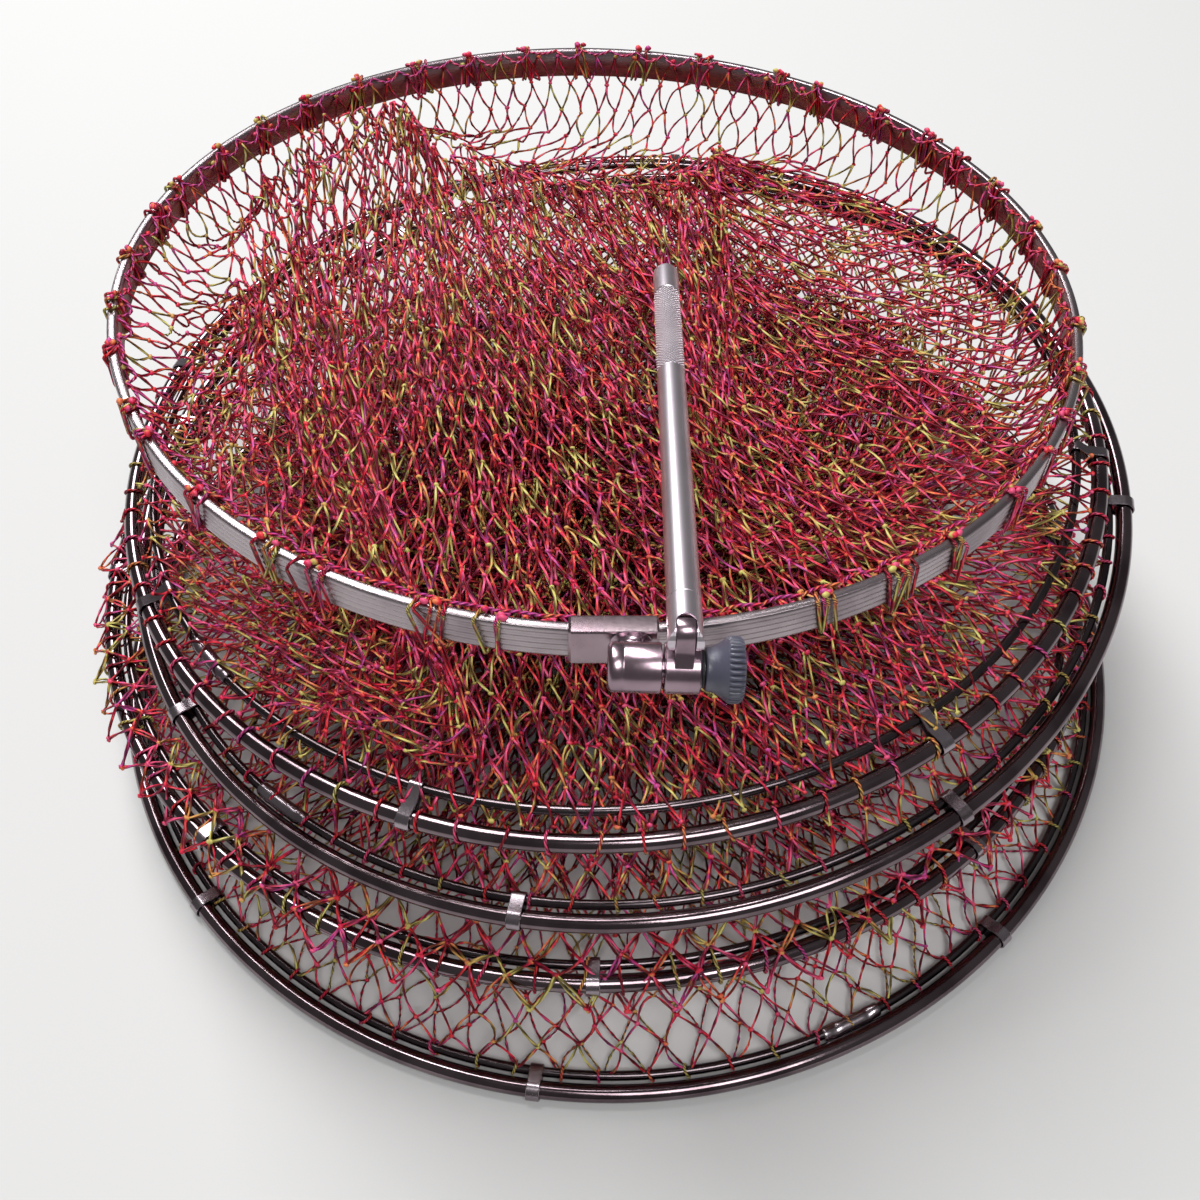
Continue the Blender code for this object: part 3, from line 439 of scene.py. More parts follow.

# %% [markdown]
# ## The twine's finish
#
# The netting is knotted from one long twine that was dyed in runs: crimson, pink, red, orange,
# olive, lime and a little violet, each a few centimetres long. Each piece of netting stores how far
# along the twine a point is, counted in bars of the mesh. The fraction of that count over one
# repeat picks the colour from a ramp. The twine is two plies laid together, so a slanting wave on
# the UV map sinks the groove between them, and painted shade darkens that groove to near black.

# %% Twine finish
CRIMSON, PINK, RED = (0.82, 0.016, 0.080), (0.95, 0.110, 0.26), (0.92, 0.050, 0.050)
ORANGE, OLIVE, LIME = (0.94, 0.31, 0.10), (0.64, 0.47, 0.12), (0.74, 0.70, 0.20)
VIOLET, MAROON = (0.60, 0.08, 0.38), (0.22, 0.010, 0.024)
DYE_RUNS = [(0.0, CRIMSON), (0.07, PINK), (0.16, PINK), (0.19, RED), (0.29, CRIMSON), (0.33, ORANGE),
            (0.40, OLIVE), (0.49, LIME), (0.53, OLIVE), (0.57, CRIMSON), (0.64, MAROON), (0.69, RED),
            (0.76, PINK), (0.81, VIOLET), (0.86, CRIMSON), (0.90, ORANGE), (0.95, RED), (1.0, CRIMSON)]


def fraction(value):
    """What is left of a value after its whole number is taken away."""
    return value.finish.node("Math", {"operation": "FRACT"}, {0: value})


twine = Finish("net_twine", Metallic=0.0, Specular_IOR_Level=0.28)
patchy = twine.noise(260.0, 2.0)
dye = fraction(twine.node("Attribute", {"attribute_name": "dye"}, output="Fac") + patchy * 0.34)
dyed = twine.node("ValToRGB", {"stops": DYE_RUNS}, {0: dye})
twine_along, twine_around = twine.along_and_around()
ply_groove_and_shade = (twine_along * 3.4 + twine_around * 2.0).wave()
# The groove between the plies is mixed towards a near-black red: painted shade in the groove.
twine.feed(Base_Color=twine.mix((1 - ply_groove_and_shade) * (1 - ply_groove_and_shade) * 0.9, dyed, (0.050, 0.006, 0.012)),
           Roughness=patchy * 0.22 + 0.30)
twine_finish = twine.emboss(ply_groove_and_shade, 0.0006).material
print("dye runs in one repeat:", len(DYE_RUNS) - 1)

# %% [markdown]
# ## Riding and replacing
#
# Each new piece is given its finish, rides on the body that carries it, and
# stands for the plain CAD nodes that it covers.

# %% Giving a piece its place in the object
def fit(piece, material, slot, body, *nodes):
    """Finish, body and the CAD nodes that the piece stands for, which are hidden; slot is not used."""
    piece.data.materials.append(material)
    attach(piece, body)
    if nodes:
        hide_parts(*nodes)
    return piece


# %% [markdown]
# ## Ring tubes and inner wires
#
# A ring is a circle carried round a larger circle. The real rings were bent by hand on a former,
# so they stray by a fraction of a millimetre, with a slow wobble of two to five waves a turn.

# %% Tubes and wires
RING_STATIONS, WOBBLE = 288, 0.00008


def ring_of(name, place, radius, rod_radius, up, sides):
    """A rod bent to a ring: angle round the ring by angle round the rod, with a slow wobble in its radius."""
    angle = headings_round(RING_STATIONS)
    stray = sum(WOBBLE / k * np.sin(k * angle + rng.uniform(0, TURN)) for k in (2, 3, 5))
    path = on_ring(place, radius + stray, angle, up)
    across, upward = square_to(path, place[0][:, 2] + 0 * path, closed=True)
    points = carry(path, across, upward, round_section(rod_radius, sides))
    return lay_tubes(name, points[None], closed=True, scale=(TURN * radius / RING_STATIONS, 1 / sides))


for number in range(4):
    place, radius, body = RING_PLACES[number], RING_RADIUS[number], BODIES[number]
    tube = ring_of(f"tube_{number + 1}", place, radius, TUBE_RADIUS, 0.0, 20)
    fit(tube, tube_finish, "ring_tube", body, f"outer_ring_{number + 1}")
    wire = ring_of(f"wire_{number + 1}", place, radius - WIRE_IN[number], WIRE_RADIUS, WIRE_UP[number], 12)
    fit(wire, wire_finish, "ring_wire", body, f"inner_wire_{number + 1}")
print("smooth rings:", 8)

# %% [markdown]
# ## Clips
#
# A clip is a strip of sheet wrapped round tube and wire, so its outline is a belt round two
# circles: an arc on each, and the two straight lines that touch both. On the first pair the wire
# stands further off, and the clip is pinched between them into a figure of eight.

# %% Belt outline round tube and wire
def belt(inset, rise, offset, pinch=None, tube_steps=22, wire_steps=12):
    """Outline at an offset round tube and wire: arcs that end where the common tangents touch them."""
    span = np.hypot(inset, rise)
    towards = np.arctan2(rise, -inset)
    touch = np.arccos((TUBE_RADIUS - WIRE_RADIUS) / span)
    tube_angle = towards + np.linspace(touch, TURN - touch, tube_steps)
    wire_angle = towards + np.linspace(-touch, touch, wire_steps)
    tube = (TUBE_RADIUS + offset) * np.stack([np.cos(tube_angle), np.sin(tube_angle)], -1)
    wire = (WIRE_RADIUS + offset) * np.stack([np.cos(wire_angle), np.sin(wire_angle)], -1) + [-inset, rise]
    if pinch is None:
        return np.concatenate([tube, wire])
    axis = np.array([np.cos(towards), np.sin(towards)])
    square = np.array([-axis[1], axis[0]])
    middle = axis * (TUBE_RADIUS + span - WIRE_RADIUS) / 2
    away_from_wire = tube @ axis <= 0.35 * TUBE_RADIUS
    low, high = middle - square * (pinch + offset), middle + square * (pinch + offset)
    return np.concatenate([tube[away_from_wire], low[None], wire, high[None]])


def from_ring(place, radius, angle, local):
    """Points given as (outward, along the ring, up) at angles of a ring, as world points."""
    cosine, sine = np.cos(angle), np.sin(angle)
    out, along, up = radius + local[..., 0], local[..., 1], local[..., 2]
    flat = np.stack([out * cosine - along * sine, out * sine + along * cosine, up + 0 * cosine], -1)
    return flat @ place[0].T + place[1]


def tangent_at(place, angle):
    """Directions along a ring at its angles."""
    return np.stack([-np.sin(angle), np.cos(angle), 0 * angle], -1) @ place[0].T


print("belt corners:", len(belt(0.0063, 0.0008, 0.001)))

# %% [markdown]
# The sheet itself is a thin rounded bar, five millimetres wide, that is carried round the belt.

# %% Clips
CLIP_ANGLES = [
    (-152.6, -110.3, -57.0, -11.1, 34.0, 79.0, 124.0, 166.0),
    (-146.0, -101.1, -57.2, -12.0, 33.0, 78.0, 123.0, 168.0),
    (-174.3, -133.1, -90.9, -49.9, -5.0, 40.0, 85.0, 130.0),
    (-138.9, -98.6, -48.7, -4.0, 41.0, 86.0, 131.0, 176.0),
]
half_width, half_sheet, edge = 0.0025, 0.00035, 0.00022
sheet_section = np.array([
    (-half_width, -half_sheet + edge), (-half_width + edge, -half_sheet), (half_width - edge, -half_sheet),
    (half_width, -half_sheet + edge), (half_width, half_sheet - edge), (half_width - edge, half_sheet),
    (-half_width + edge, half_sheet), (-half_width, half_sheet - edge)])

for number in range(4):
    pinch = 0.0009 if number == 0 else None
    outline = belt(WIRE_IN[number], WIRE_UP[number], 0.00065, pinch)
    path = np.stack([outline[:, 0], 0 * outline[:, 0], outline[:, 1]], -1)
    across, upward = square_to(path, np.array([0.0, 1.0, 0.0]) + 0 * path, closed=True)
    local = carry(path, across, upward, sheet_section)
    angles = np.radians(CLIP_ANGLES[number])[:, None, None]
    points = from_ring(RING_PLACES[number], RING_RADIUS[number], angles, local)
    clips = lay_tubes(f"clips_{number + 1}", points, closed=True, sharp=40)
    nodes = [f"ring_clip_{number + 1}_{k}" for k in range(1, 9)]
    fit(clips, clip_finish, "clip_sheet", BODIES[number], *nodes)
print("clips:", sum(len(angles) for angles in CLIP_ANGLES))

# %% [markdown]
# ## Splices
#
# The two ends of each inner wire meet in a short sleeve that was squeezed with pliers. It keeps its
# round mouths, and between them its height shrinks while its width grows, most of all in two bites.

# %% Splice sleeves
SPLICE_ANGLES = (-140.0, -128.5, 62.0, -67.0)
SPLICE_LENGTH = 0.024
BITE_PLACES, BITE_WIDTH = np.array([-0.62, 0.62]), 0.12

for number in range(4):
    radius = RING_RADIUS[number] - WIRE_IN[number]
    share = np.linspace(-1, 1, 41)
    bite = np.exp(-((share[:, None] - BITE_PLACES) / BITE_WIDTH) ** 2).sum(1) + 0.5 * (np.abs(share) < 0.6)
    mouth = np.where(np.abs(share) > 0.985, 0.9, 1.0)
    angle = np.radians(SPLICE_ANGLES[number]) + share * SPLICE_LENGTH / 2 / radius
    path = on_ring(RING_PLACES[number], radius, angle, WIRE_UP[number])
    across, upward = square_to(path, RING_PLACES[number][0][:, 2] + 0 * path)
    section = round_section(WIRE_RADIUS + 0.0009, 20)[None] * np.stack(
        [mouth * (1 - 0.16 * bite), mouth * (1 + 0.10 * bite)], -1)[:, None]
    splice = lay_tubes(f"splice_{number + 1}", carry(path, across, upward, section)[None], sharp=50)
    fit(splice, clip_finish, "clip_sheet", BODIES[number], f"splice_sleeve_{number + 1}")
print("splices:", len(SPLICE_ANGLES))

# %% [markdown]
# ## The mouth strip and its sleeve
#
# The strip is a flat bar with five fine ribs on its outer face. Its section is written once, from
# the rib's pitch and depth, and carried round the ring. Inside the sleeve the strip runs straight
# and its two ends butt together, so the sleeve is a straight box with bevelled corners.

# %% Mouth strip
SLEEVE_ANGLE = np.radians(-89.5)
SLEEVE_LENGTH = 0.025
RIBS, RIB_DEPTH = 5, 0.00035

half_height = STRIP_HEIGHT / 2
rib_step = np.arange(RIBS * 4 + 1)
rib_height = -half_height + 0.0003 + rib_step * (STRIP_HEIGHT - 0.0006) / (RIBS * 4)
rib_face = -RIB_DEPTH * np.array([1.0, 0.25, 0.0, 0.25])[rib_step % 4]
inner_face = np.array([(-STRIP_THICKNESS + 0.0004, half_height), (-STRIP_THICKNESS, half_height - 0.0004),
                       (-STRIP_THICKNESS, -half_height + 0.0004), (-STRIP_THICKNESS + 0.0004, -half_height)])
top_edge = np.array([(-RIB_DEPTH - 0.0003, half_height)])
strip_section = np.concatenate(
    [np.stack([rib_face, rib_height], -1), top_edge, inner_face, top_edge * [1, -1]])

BUTT_GAP, STRIP_STATIONS = 0.0003, 281
butt = np.arcsin((SLEEVE_LENGTH / 2 + BUTT_GAP) / MOUTH_RADIUS)
angle = SLEEVE_ANGLE + np.linspace(butt, TURN - butt, STRIP_STATIONS)
radial = np.stack([np.cos(angle), np.sin(angle), 0 * angle], -1)
middle = np.array([np.cos(SLEEVE_ANGLE), np.sin(SLEEVE_ANGLE), 0.0])
tangent = np.array([-middle[1], middle[0], 0.0])
chord = middle * MOUTH_RADIUS * np.cos(butt)
path = np.concatenate([[chord + tangent * BUTT_GAP], radial * MOUTH_RADIUS, [chord - tangent * BUTT_GAP]])
outward = np.concatenate([[middle], radial, [middle]])
outward[[1, -2]] = middle
UPWARD = np.array([0.0, 0.0, 1.0])
points = carry(path, outward, UPWARD + 0 * path, strip_section) @ MOUTH[0].T + MOUTH[1]
scale = (TURN * MOUTH_RADIUS / STRIP_STATIONS, 1 / len(strip_section))
strip = lay_tubes("ribbed_strip", points[None], scale=scale, sharp=50)
fit(strip, strip_finish, "mouth_strip", "mouth", "mouth_strip")
print("strip section corners:", len(strip_section))

# %% [markdown]
# The sleeve is a shell in one piece. Its stations carry the outline from one drawn-in rim along the
# outside to the other rim, and back through the bore that the strip lies in.

# %% Joining sleeve
CORNER_STEPS = 4


def rounded_box(half_first, half_second, corner):
    """Outline of a rectangle with round corners: four quarter circles about its drawn-in corners."""
    centres = np.array([(1, 1), (-1, 1), (-1, -1), (1, -1)]) * [half_first - corner, half_second - corner]
    angle = np.linspace(0, TURN / 4, CORNER_STEPS)[None] + TURN / 4 * np.arange(4)[:, None]
    return (centres[:, None] + corner * np.stack([np.cos(angle), np.sin(angle)], -1)).reshape(-1, 2)


bore_in, bore_high, wall = STRIP_THICKNESS / 2 + 0.0003, half_height + 0.0003, 0.0014
outer = rounded_box(bore_in + wall, bore_high + wall / 2, 0.0009)
drawn_in = rounded_box(bore_in + wall - 0.0006, bore_high + wall / 2 - 0.0005, 0.0006)
bore = rounded_box(bore_in, bore_high, 0.0002)
stations = [(-0.5, drawn_in, 0.0), (-0.5, outer, 0.0007), (0.5, outer, -0.0007),
            (0.5, drawn_in, 0.0), (0.5, bore, 0.0), (-0.5, bore, 0.0)]
along = np.array([share * SLEEVE_LENGTH + inset for share, outline, inset in stations])
sections = np.stack([outline for share, outline, inset in stations])
path = chord - middle * STRIP_THICKNESS / 2 + along[:, None] * tangent
points = carry(path, middle + 0 * path, UPWARD + 0 * path, sections) @ MOUTH[0].T + MOUTH[1]
sleeve = lay_tubes("strip_sleeve", points[None], closed=True, sharp=30)
fit(sleeve, sleeve_finish, "joining_sleeve", "mouth", "joining_sleeve")
print("sleeve", SLEEVE_LENGTH, "long")

# %% [markdown]
# ## The hinge head
#
# Two barrels lie on one axis in front of the sleeve, and the knob on the right clamps them. All
# of these are turned shapes, so each is a profile of (distance along the axis, radius) carried
# round the axis. The knob's grooves are a ripple that is added to its radius by the angle.

# %% Turned pieces
HINGE = (np.array([[0.998451, 0.026748, 0.048788],
                   [-0.029031, 0.998487, 0.046693],
                   [-0.047466, -0.048037, 0.997717]]),
         np.array([0.000051, -0.173213, 0.196423]))
ROD = (np.array([[0.998451, 0.021233, 0.051429],
                 [-0.029031, 0.987334, 0.155980],
                 [-0.047466, -0.157231, 0.986421]]),
       np.array([0.018805, -0.170654, 0.208015]))


def turned(name, place, profile, around, axis="X", bored=False, ripple=None, sharp=32):
    """A profile of (along, radius) turned about X or Y of a place. ripple(station, angle) adds to the
    radius, and the first number of each UV is the distance along the axis."""
    profile = np.array(profile, float)
    angle = TURN * np.arange(around) / around
    radius = profile[:, 1:] + 0 * angle
    if ripple is not None:
        radius = radius + ripple(np.arange(len(profile))[:, None], angle[None])
    along = profile[:, :1] + 0 * radius
    first, second = radius * np.cos(angle), radius * np.sin(angle)
    local = np.stack([along, first, second], -1) if axis == "X" else np.stack([second, along, first], -1)
    points = local @ place[0].T + place[1]
    piece = lay_tubes(name, points[None], closed=bored, scale=(1.0, 1 / around), sharp=sharp)
    uv = np.zeros(len(piece.data.loops) * 2, np.float32)
    layer = piece.data.uv_layers["along"].data
    layer.foreach_get("uv", uv)
    uv = uv.reshape(-1, 2)
    uv[:, 0] = profile[:, 0][uv[:, 0].round().astype(int) % len(profile)]
    layer.foreach_set("uv", uv.ravel())
    return piece


BARREL_RADIUS, BOLT_RADIUS = 0.0070, 0.0025
FIXED_START, FIXED_END = -0.0021, 0.0124
TURNING_START, TURNING_END = 0.0132, 0.0230
RECESS, CHAMFER = 0.0004, 0.0003
bore_radius = BOLT_RADIUS + 0.0003
chamfered = BARREL_RADIUS - CHAMFER
closed_end = [(0.0, 0.0008), (0.0, 0.0056), (0.0003, 0.0062), (0.0009, 0.0068), (0.0014, BARREL_RADIUS),
              (0.0040, BARREL_RADIUS), (0.0042, 0.00688), (0.0045, 0.00688), (0.0047, BARREL_RADIUS)]
fixed_profile = [(FIXED_START + along, radius) for along, radius in closed_end]
fixed_profile += [(FIXED_END - CHAMFER, BARREL_RADIUS), (FIXED_END, chamfered), (FIXED_END, 0.0061),
                  (FIXED_END - RECESS, 0.0060), (FIXED_END - RECESS, bore_radius),
                  (FIXED_START + 0.0030, bore_radius)]
fixed = turned("hinge_fixed_barrel", HINGE, fixed_profile, 64)
fit(fixed, steel_finish, "hinge_steel", "mouth", "fixed_barrel")
turning_profile = [(TURNING_START + RECESS, bore_radius), (TURNING_START + RECESS, 0.0060),
                   (TURNING_START, 0.0061), (TURNING_START, chamfered),
                   (TURNING_START + CHAMFER, BARREL_RADIUS), (TURNING_END - 0.0005, BARREL_RADIUS),
                   (TURNING_END, BARREL_RADIUS - 0.0005), (TURNING_END, bore_radius)]
turning = turned("hinge_turning_barrel", HINGE, turning_profile, 64, bored=True)
fit(turning, steel_finish, "hinge_steel", "hinge", "turning_barrel")
print("barrels from", FIXED_START, "to", TURNING_END)

# %% [markdown]
# The neck joins the fixed barrel to the sleeve and flares at its foot. The lug stands on the
# turning barrel, so its flat outline is given a thickness. The knob flares to its grooved rim.

# %% Neck, lug and knob
def slab(name, place, outline, low, high, bevel):
    """An outline in the YZ plane of a place, given thickness along X, with a bevelled rim."""
    outline = np.array(outline)
    centre = outline.mean(0)
    shrink = centre + (outline - centre) * (1 - bevel / np.abs(outline - centre).max())
    rows = [(low, shrink), (low + bevel, outline), (high - bevel, outline), (high, shrink)]
    local = np.stack([np.column_stack([np.full(len(part), at), part]) for at, part in rows])
    return lay_tubes(name, (local @ place[0].T + place[1])[None], sharp=32)


NECK = ((0.0052, 0.0034), (0.0072, 0.0034), (0.0080, 0.0036),
        (0.0087, 0.0043), (0.0091, 0.0050), (0.0094, 0.0051))
NECK_X, NECK_Z, NECK_WIDER = 0.0044, -0.0011, 1.15
neck_angle = headings_round(32)
neck_local = np.stack([
    np.stack([NECK_X + r * np.cos(neck_angle) * NECK_WIDER, y + 0 * neck_angle,
              NECK_Z + r * np.sin(neck_angle)], -1) for y, r in NECK])
neck = lay_tubes("hinge_neck", (neck_local @ HINGE[0].T + HINGE[1])[None], sharp=40)
fit(neck, steel_finish, "hinge_steel", "mouth")

PIN_RISE, PIN_BACK, LUG_X = 0.0126, 0.0025, 0.0181
LUG_HALF, LUG_ROUND = 0.0025, 0.0042
LUG_SIDE = [(0.0042, 0.0092), (0.0045, 0.0080), (0.0052, 0.0066), (0.0057, 0.0048)]
lug_angle = np.linspace(0, np.pi, 17)
lean = np.arctan2(PIN_BACK, PIN_RISE)
reach = np.hypot(PIN_RISE, PIN_BACK)
lug_outline = [(LUG_ROUND * np.cos(a), reach + LUG_ROUND * np.sin(a)) for a in lug_angle]
lug_outline += [(-across, up) for across, up in LUG_SIDE] + LUG_SIDE[::-1]
lug_outline = np.array(lug_outline) @ np.array([[np.cos(lean), -np.sin(lean)], [np.sin(lean), np.cos(lean)]])
lug = slab("hinge_lug", HINGE, lug_outline, LUG_X - LUG_HALF, LUG_X + LUG_HALF, 0.0003)
fit(lug, steel_finish, "hinge_steel", "hinge")

KNOB_START, KNOB_END, RIM_START = 0.0242, 0.0347, 0.0303
GROOVES, GROOVE_DEPTH = 34, 0.00090
flare = np.linspace(0, 1, 13)
flare_radius = 0.0061 + 0.0027 * (1 - np.cos(flare * np.pi / 2))
knob_profile = [(KNOB_START + 0.0070, bore_radius), (KNOB_START, bore_radius), (KNOB_START, 0.0058),
                (KNOB_START + 0.0003, 0.0061)]
knob_profile += list(zip(KNOB_START + 0.0006 + flare * 0.0053, flare_radius))
first_grooved = len(knob_profile)
knob_profile += [(RIM_START + 0.0002, 0.0091), (RIM_START + 0.0008, 0.0092), (KNOB_END - 0.0016, 0.0092),
                 (KNOB_END - 0.0009, 0.0089)]
last_grooved = len(knob_profile) - 1
knob_profile += [(KNOB_END - 0.0004, 0.0084), (KNOB_END - 0.0001, 0.0076), (KNOB_END, 0.0064),
                 (KNOB_END, 0.0042), (KNOB_END - 0.0003, 0.0039), (KNOB_END - 0.0003, 0.0008)]


def grooves(station, angle):
    """Narrow grooves along the rim: a sharp power of a wave, as deep as GROOVE_DEPTH."""
    on_rim = (station >= first_grooved) & (station <= last_grooved)
    return -GROOVE_DEPTH * on_rim * (0.5 + 0.5 * np.cos(GROOVES * angle)) ** 3


knob = turned("knurled_knob", HINGE, knob_profile, 8 * GROOVES, ripple=grooves, sharp=60)
fit(knob, knob_finish, "knob_plastic", "knob", "clamp_knob")
print("knob from", KNOB_START, "to", KNOB_END)

# %% [markdown]
# ## The rod
#
# The rod is turned about its own line, which starts at the fork's pin. The CAD part's fork, pin,
# bolt and washer are kept and only get their finish. The fork's slot is longer than the real one,
# so a thin curved bridge on the rod's upper side closes the part of it above the lug.

# %% Rod, tip and the kept nodes
ROD_RADIUS, ROD_LENGTH, TIP_LENGTH = 0.0048, 0.196, 0.019
tube_start, tube_end = 0.0113, ROD_LENGTH - TIP_LENGTH - 0.0003
rod_profile = [(tube_start, 0.0038), (tube_start, ROD_RADIUS - 0.0002), (tube_start + 0.0002, ROD_RADIUS)]
rod_profile += [(at, ROD_RADIUS) for at in np.linspace(0.02, tube_end - 0.001, 40)]
rod_profile += [(tube_end - 0.0002, ROD_RADIUS), (tube_end, ROD_RADIUS - 0.0002), (tube_end, 0.0038)]
rod = turned("polished_rod", ROD, rod_profile, 64, axis="Y", bored=True)
fit(rod, rod_finish, "hinge_steel", "rod", "rod_tube")

tip_start = ROD_LENGTH - TIP_LENGTH
quarter = np.linspace(0, np.pi / 2, 12)
ROUND_END = 0.0030
tip_profile = [(tip_start - 0.010, 0.0008), (tip_start - 0.010, 0.0035), (tip_start, 0.0035),
               (tip_start, ROD_RADIUS - 0.0003), (tip_start + 0.0003, ROD_RADIUS)]
tip_profile += list(zip(ROD_LENGTH - ROUND_END + ROUND_END * np.sin(quarter),
                        ROD_RADIUS - ROUND_END + ROUND_END * np.cos(quarter)))
tip_profile += [(ROD_LENGTH, 0.0008)]
tip = turned("polished_tip", ROD, tip_profile, 64, axis="Y")
fit(tip, rod_finish, "hinge_steel", "rod", "rod_tip")

BRIDGE_END, BRIDGE_WALL = 0.0112, 0.0006
bridge_half, bridge_radius, arch_radius, arch_place = 0.0033, 0.00494, 0.0030, 0.0022
across_bridge = np.linspace(-1, 1, 17)[:, None] * bridge_half
arch = arch_place - arch_radius + np.sqrt(np.maximum(arch_radius ** 2 - across_bridge ** 2, 0))
arch = np.where(np.abs(across_bridge) > arch_radius, arch_place - arch_radius - 0.004, arch)
share = np.array([0.0, 0.35, 0.7, 1.0, 1.0, 0.7, 0.35, 0.0])
outer_skin = np.array([1, 1, 1, 1, 0, 0, 0, 0])
radius = np.where(outer_skin, bridge_radius, bridge_radius - BRIDGE_WALL)
along_bridge = arch + (BRIDGE_END - arch) * share
height = np.sqrt(radius ** 2 - across_bridge ** 2)
bridge_local = np.stack([across_bridge + 0 * share, along_bridge, height], -1)
bridge = lay_tubes("fork_bridge", (bridge_local @ ROD[0].T + ROD[1])[None], scale=(0.0001, 0.1), sharp=40)
fit(bridge, rod_finish, "hinge_steel", "rod")

kept_nodes = {"rod_fork": rod_finish, "fork_pin": steel_finish, "hinge_bolt": steel_finish,
              "hinge_washer": washer_finish}
for node, material in kept_nodes.items():
    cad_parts[node].data.materials.clear()
    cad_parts[node].data.materials.append(material)
print("rod", ROD_LENGTH, "m long")

# %% [markdown]
# ## Knots and bars
#
# Diamond netting is a grid of knots in which every second row is set half a step round, and each
# knot is tied to two knots above it and two below. About a hundred meshes go round the net. One netting
# needs only the places of its knots: the bars follow from them. A bar is a twine of two plies, so
# its section is a flat diamond that turns as it goes, and it bows a little, because a hand-made net
# is never quite tight.

# %% Netting from knots
UPPER_MESHES, MESHES = 120, 86
TWINE_WIDE, TWINE_THIN = 0.00057, 0.00041
TWIST = 1.15
KNOT_SIZE, KNOT_STRETCH = 0.00092, np.array([1.15, 0.86, 0.86])
BARS_CLEAR, KNOTS_CLEAR = 0.0003, 0.0002
DYE_REPEAT = 15.3


def knot_shape(around, rings):
    """A small lump with two slanting coils: unit ball whose radius waves with both angles."""
    rise = np.pi * (np.arange(rings) + 0.9) / (rings + 0.8)
    angle = TURN * np.arange(around) / around
    rise, angle = np.meshgrid(rise, angle, indexing="ij")
    swell = 1 + 0.20 * np.cos(2 * angle + 2.2 * rise)
    ball = np.stack([np.cos(rise), np.sin(rise) * swell * np.cos(angle),
                     np.sin(rise) * swell * np.sin(angle)], -1)
    points = np.concatenate([ball.reshape(-1, 3), [[1.0, 0, 0], [-1.0, 0, 0]]])
    quads = grid_faces(rings, around, False)[0]
    step = np.arange(around)
    following = (step + 1) % around
    top = np.stack([following, step, np.full(around, rings * around)], -1)
    last = (rings - 1) * around
    bottom = np.stack([last + step, last + following, np.full(around, rings * around + 1)], -1)
    return points, quads, np.concatenate([top, bottom])


TIDY_KNOT, PLAIN_KNOT = knot_shape(6, 3), knot_shape(5, 2)


def place_knots(places, axis, side, size, shape):
    """A knot at each place, its long way on axis, each a little different in size and turn."""
    count = len(places)
    axis = unit(axis)
    side = unit(side - (side * axis).sum(-1, keepdims=True) * axis)
    third = np.cross(axis, side)
    spin = rng.uniform(0, TURN, (count, 1))
    first = side * np.cos(spin) + third * np.sin(spin)
    second = third * np.cos(spin) - side * np.sin(spin)
    grow = size * rng.uniform(0.85, 1.2, (count, 1, 1)) * KNOT_STRETCH
    local = shape[0][None] * grow
    points = places[:, None] + local[..., :1] * axis[:, None]
    return points + local[..., 1:2] * first[:, None] + local[..., 2:] * second[:, None]


def knot_faces(shape, count, first=0):
    """Faces of count copies of a knot, whose points start at number first."""
    start = first + np.arange(count)[:, None, None] * len(shape[0])
    return [(group + start).reshape(-1, group.shape[1]) for group in shape[1:]]


def store_dye(piece, dyes):
    """How far along the dyed twine each point is, kept on the piece for its finish to read."""
    piece.data.attributes.new("dye", "FLOAT", "POINT").data.foreach_set("value", dyes.astype(np.float32))


def bar_points(start, end, bow, droop, stations, sides):
    """Bars from start to end: a straight line, plus a bow that is greatest halfway, with a turning section.
    A section of three sides is made wider, so that it looks as thick as one of four."""
    share = np.linspace(0, 1, stations)
    arch = (4 * share * (1 - share))[None, :, None]
    count = len(start)
    stray = rng.normal(0, bow, (count, 1, 3)) - np.array([0, 0, droop])
    path = start[:, None] + share[None, :, None] * (end - start)[:, None] + arch * stray
    run = np.abs(end - start)
    hint = np.eye(3)[run.argmin(1)][:, None] + 0 * path
    across, up = square_to(path, hint)
    spin = rng.uniform(0, TURN, (count, 1, 1))
    turn = spin + TWIST * TURN * share[None, :, None] + TURN / sides * np.arange(sides)
    width = np.where(np.arange(sides) % 2 == 0, TWINE_WIDE, TWINE_THIN) * (1.3 if sides == 3 else 1)
    section = np.stack([width * np.cos(turn), width * np.sin(turn)], -1)
    return carry(path, across, up, section)


print("knot faces:", len(TIDY_KNOT[1]) + len(TIDY_KNOT[2]), "and", len(PLAIN_KNOT[1]) + len(PLAIN_KNOT[2]))
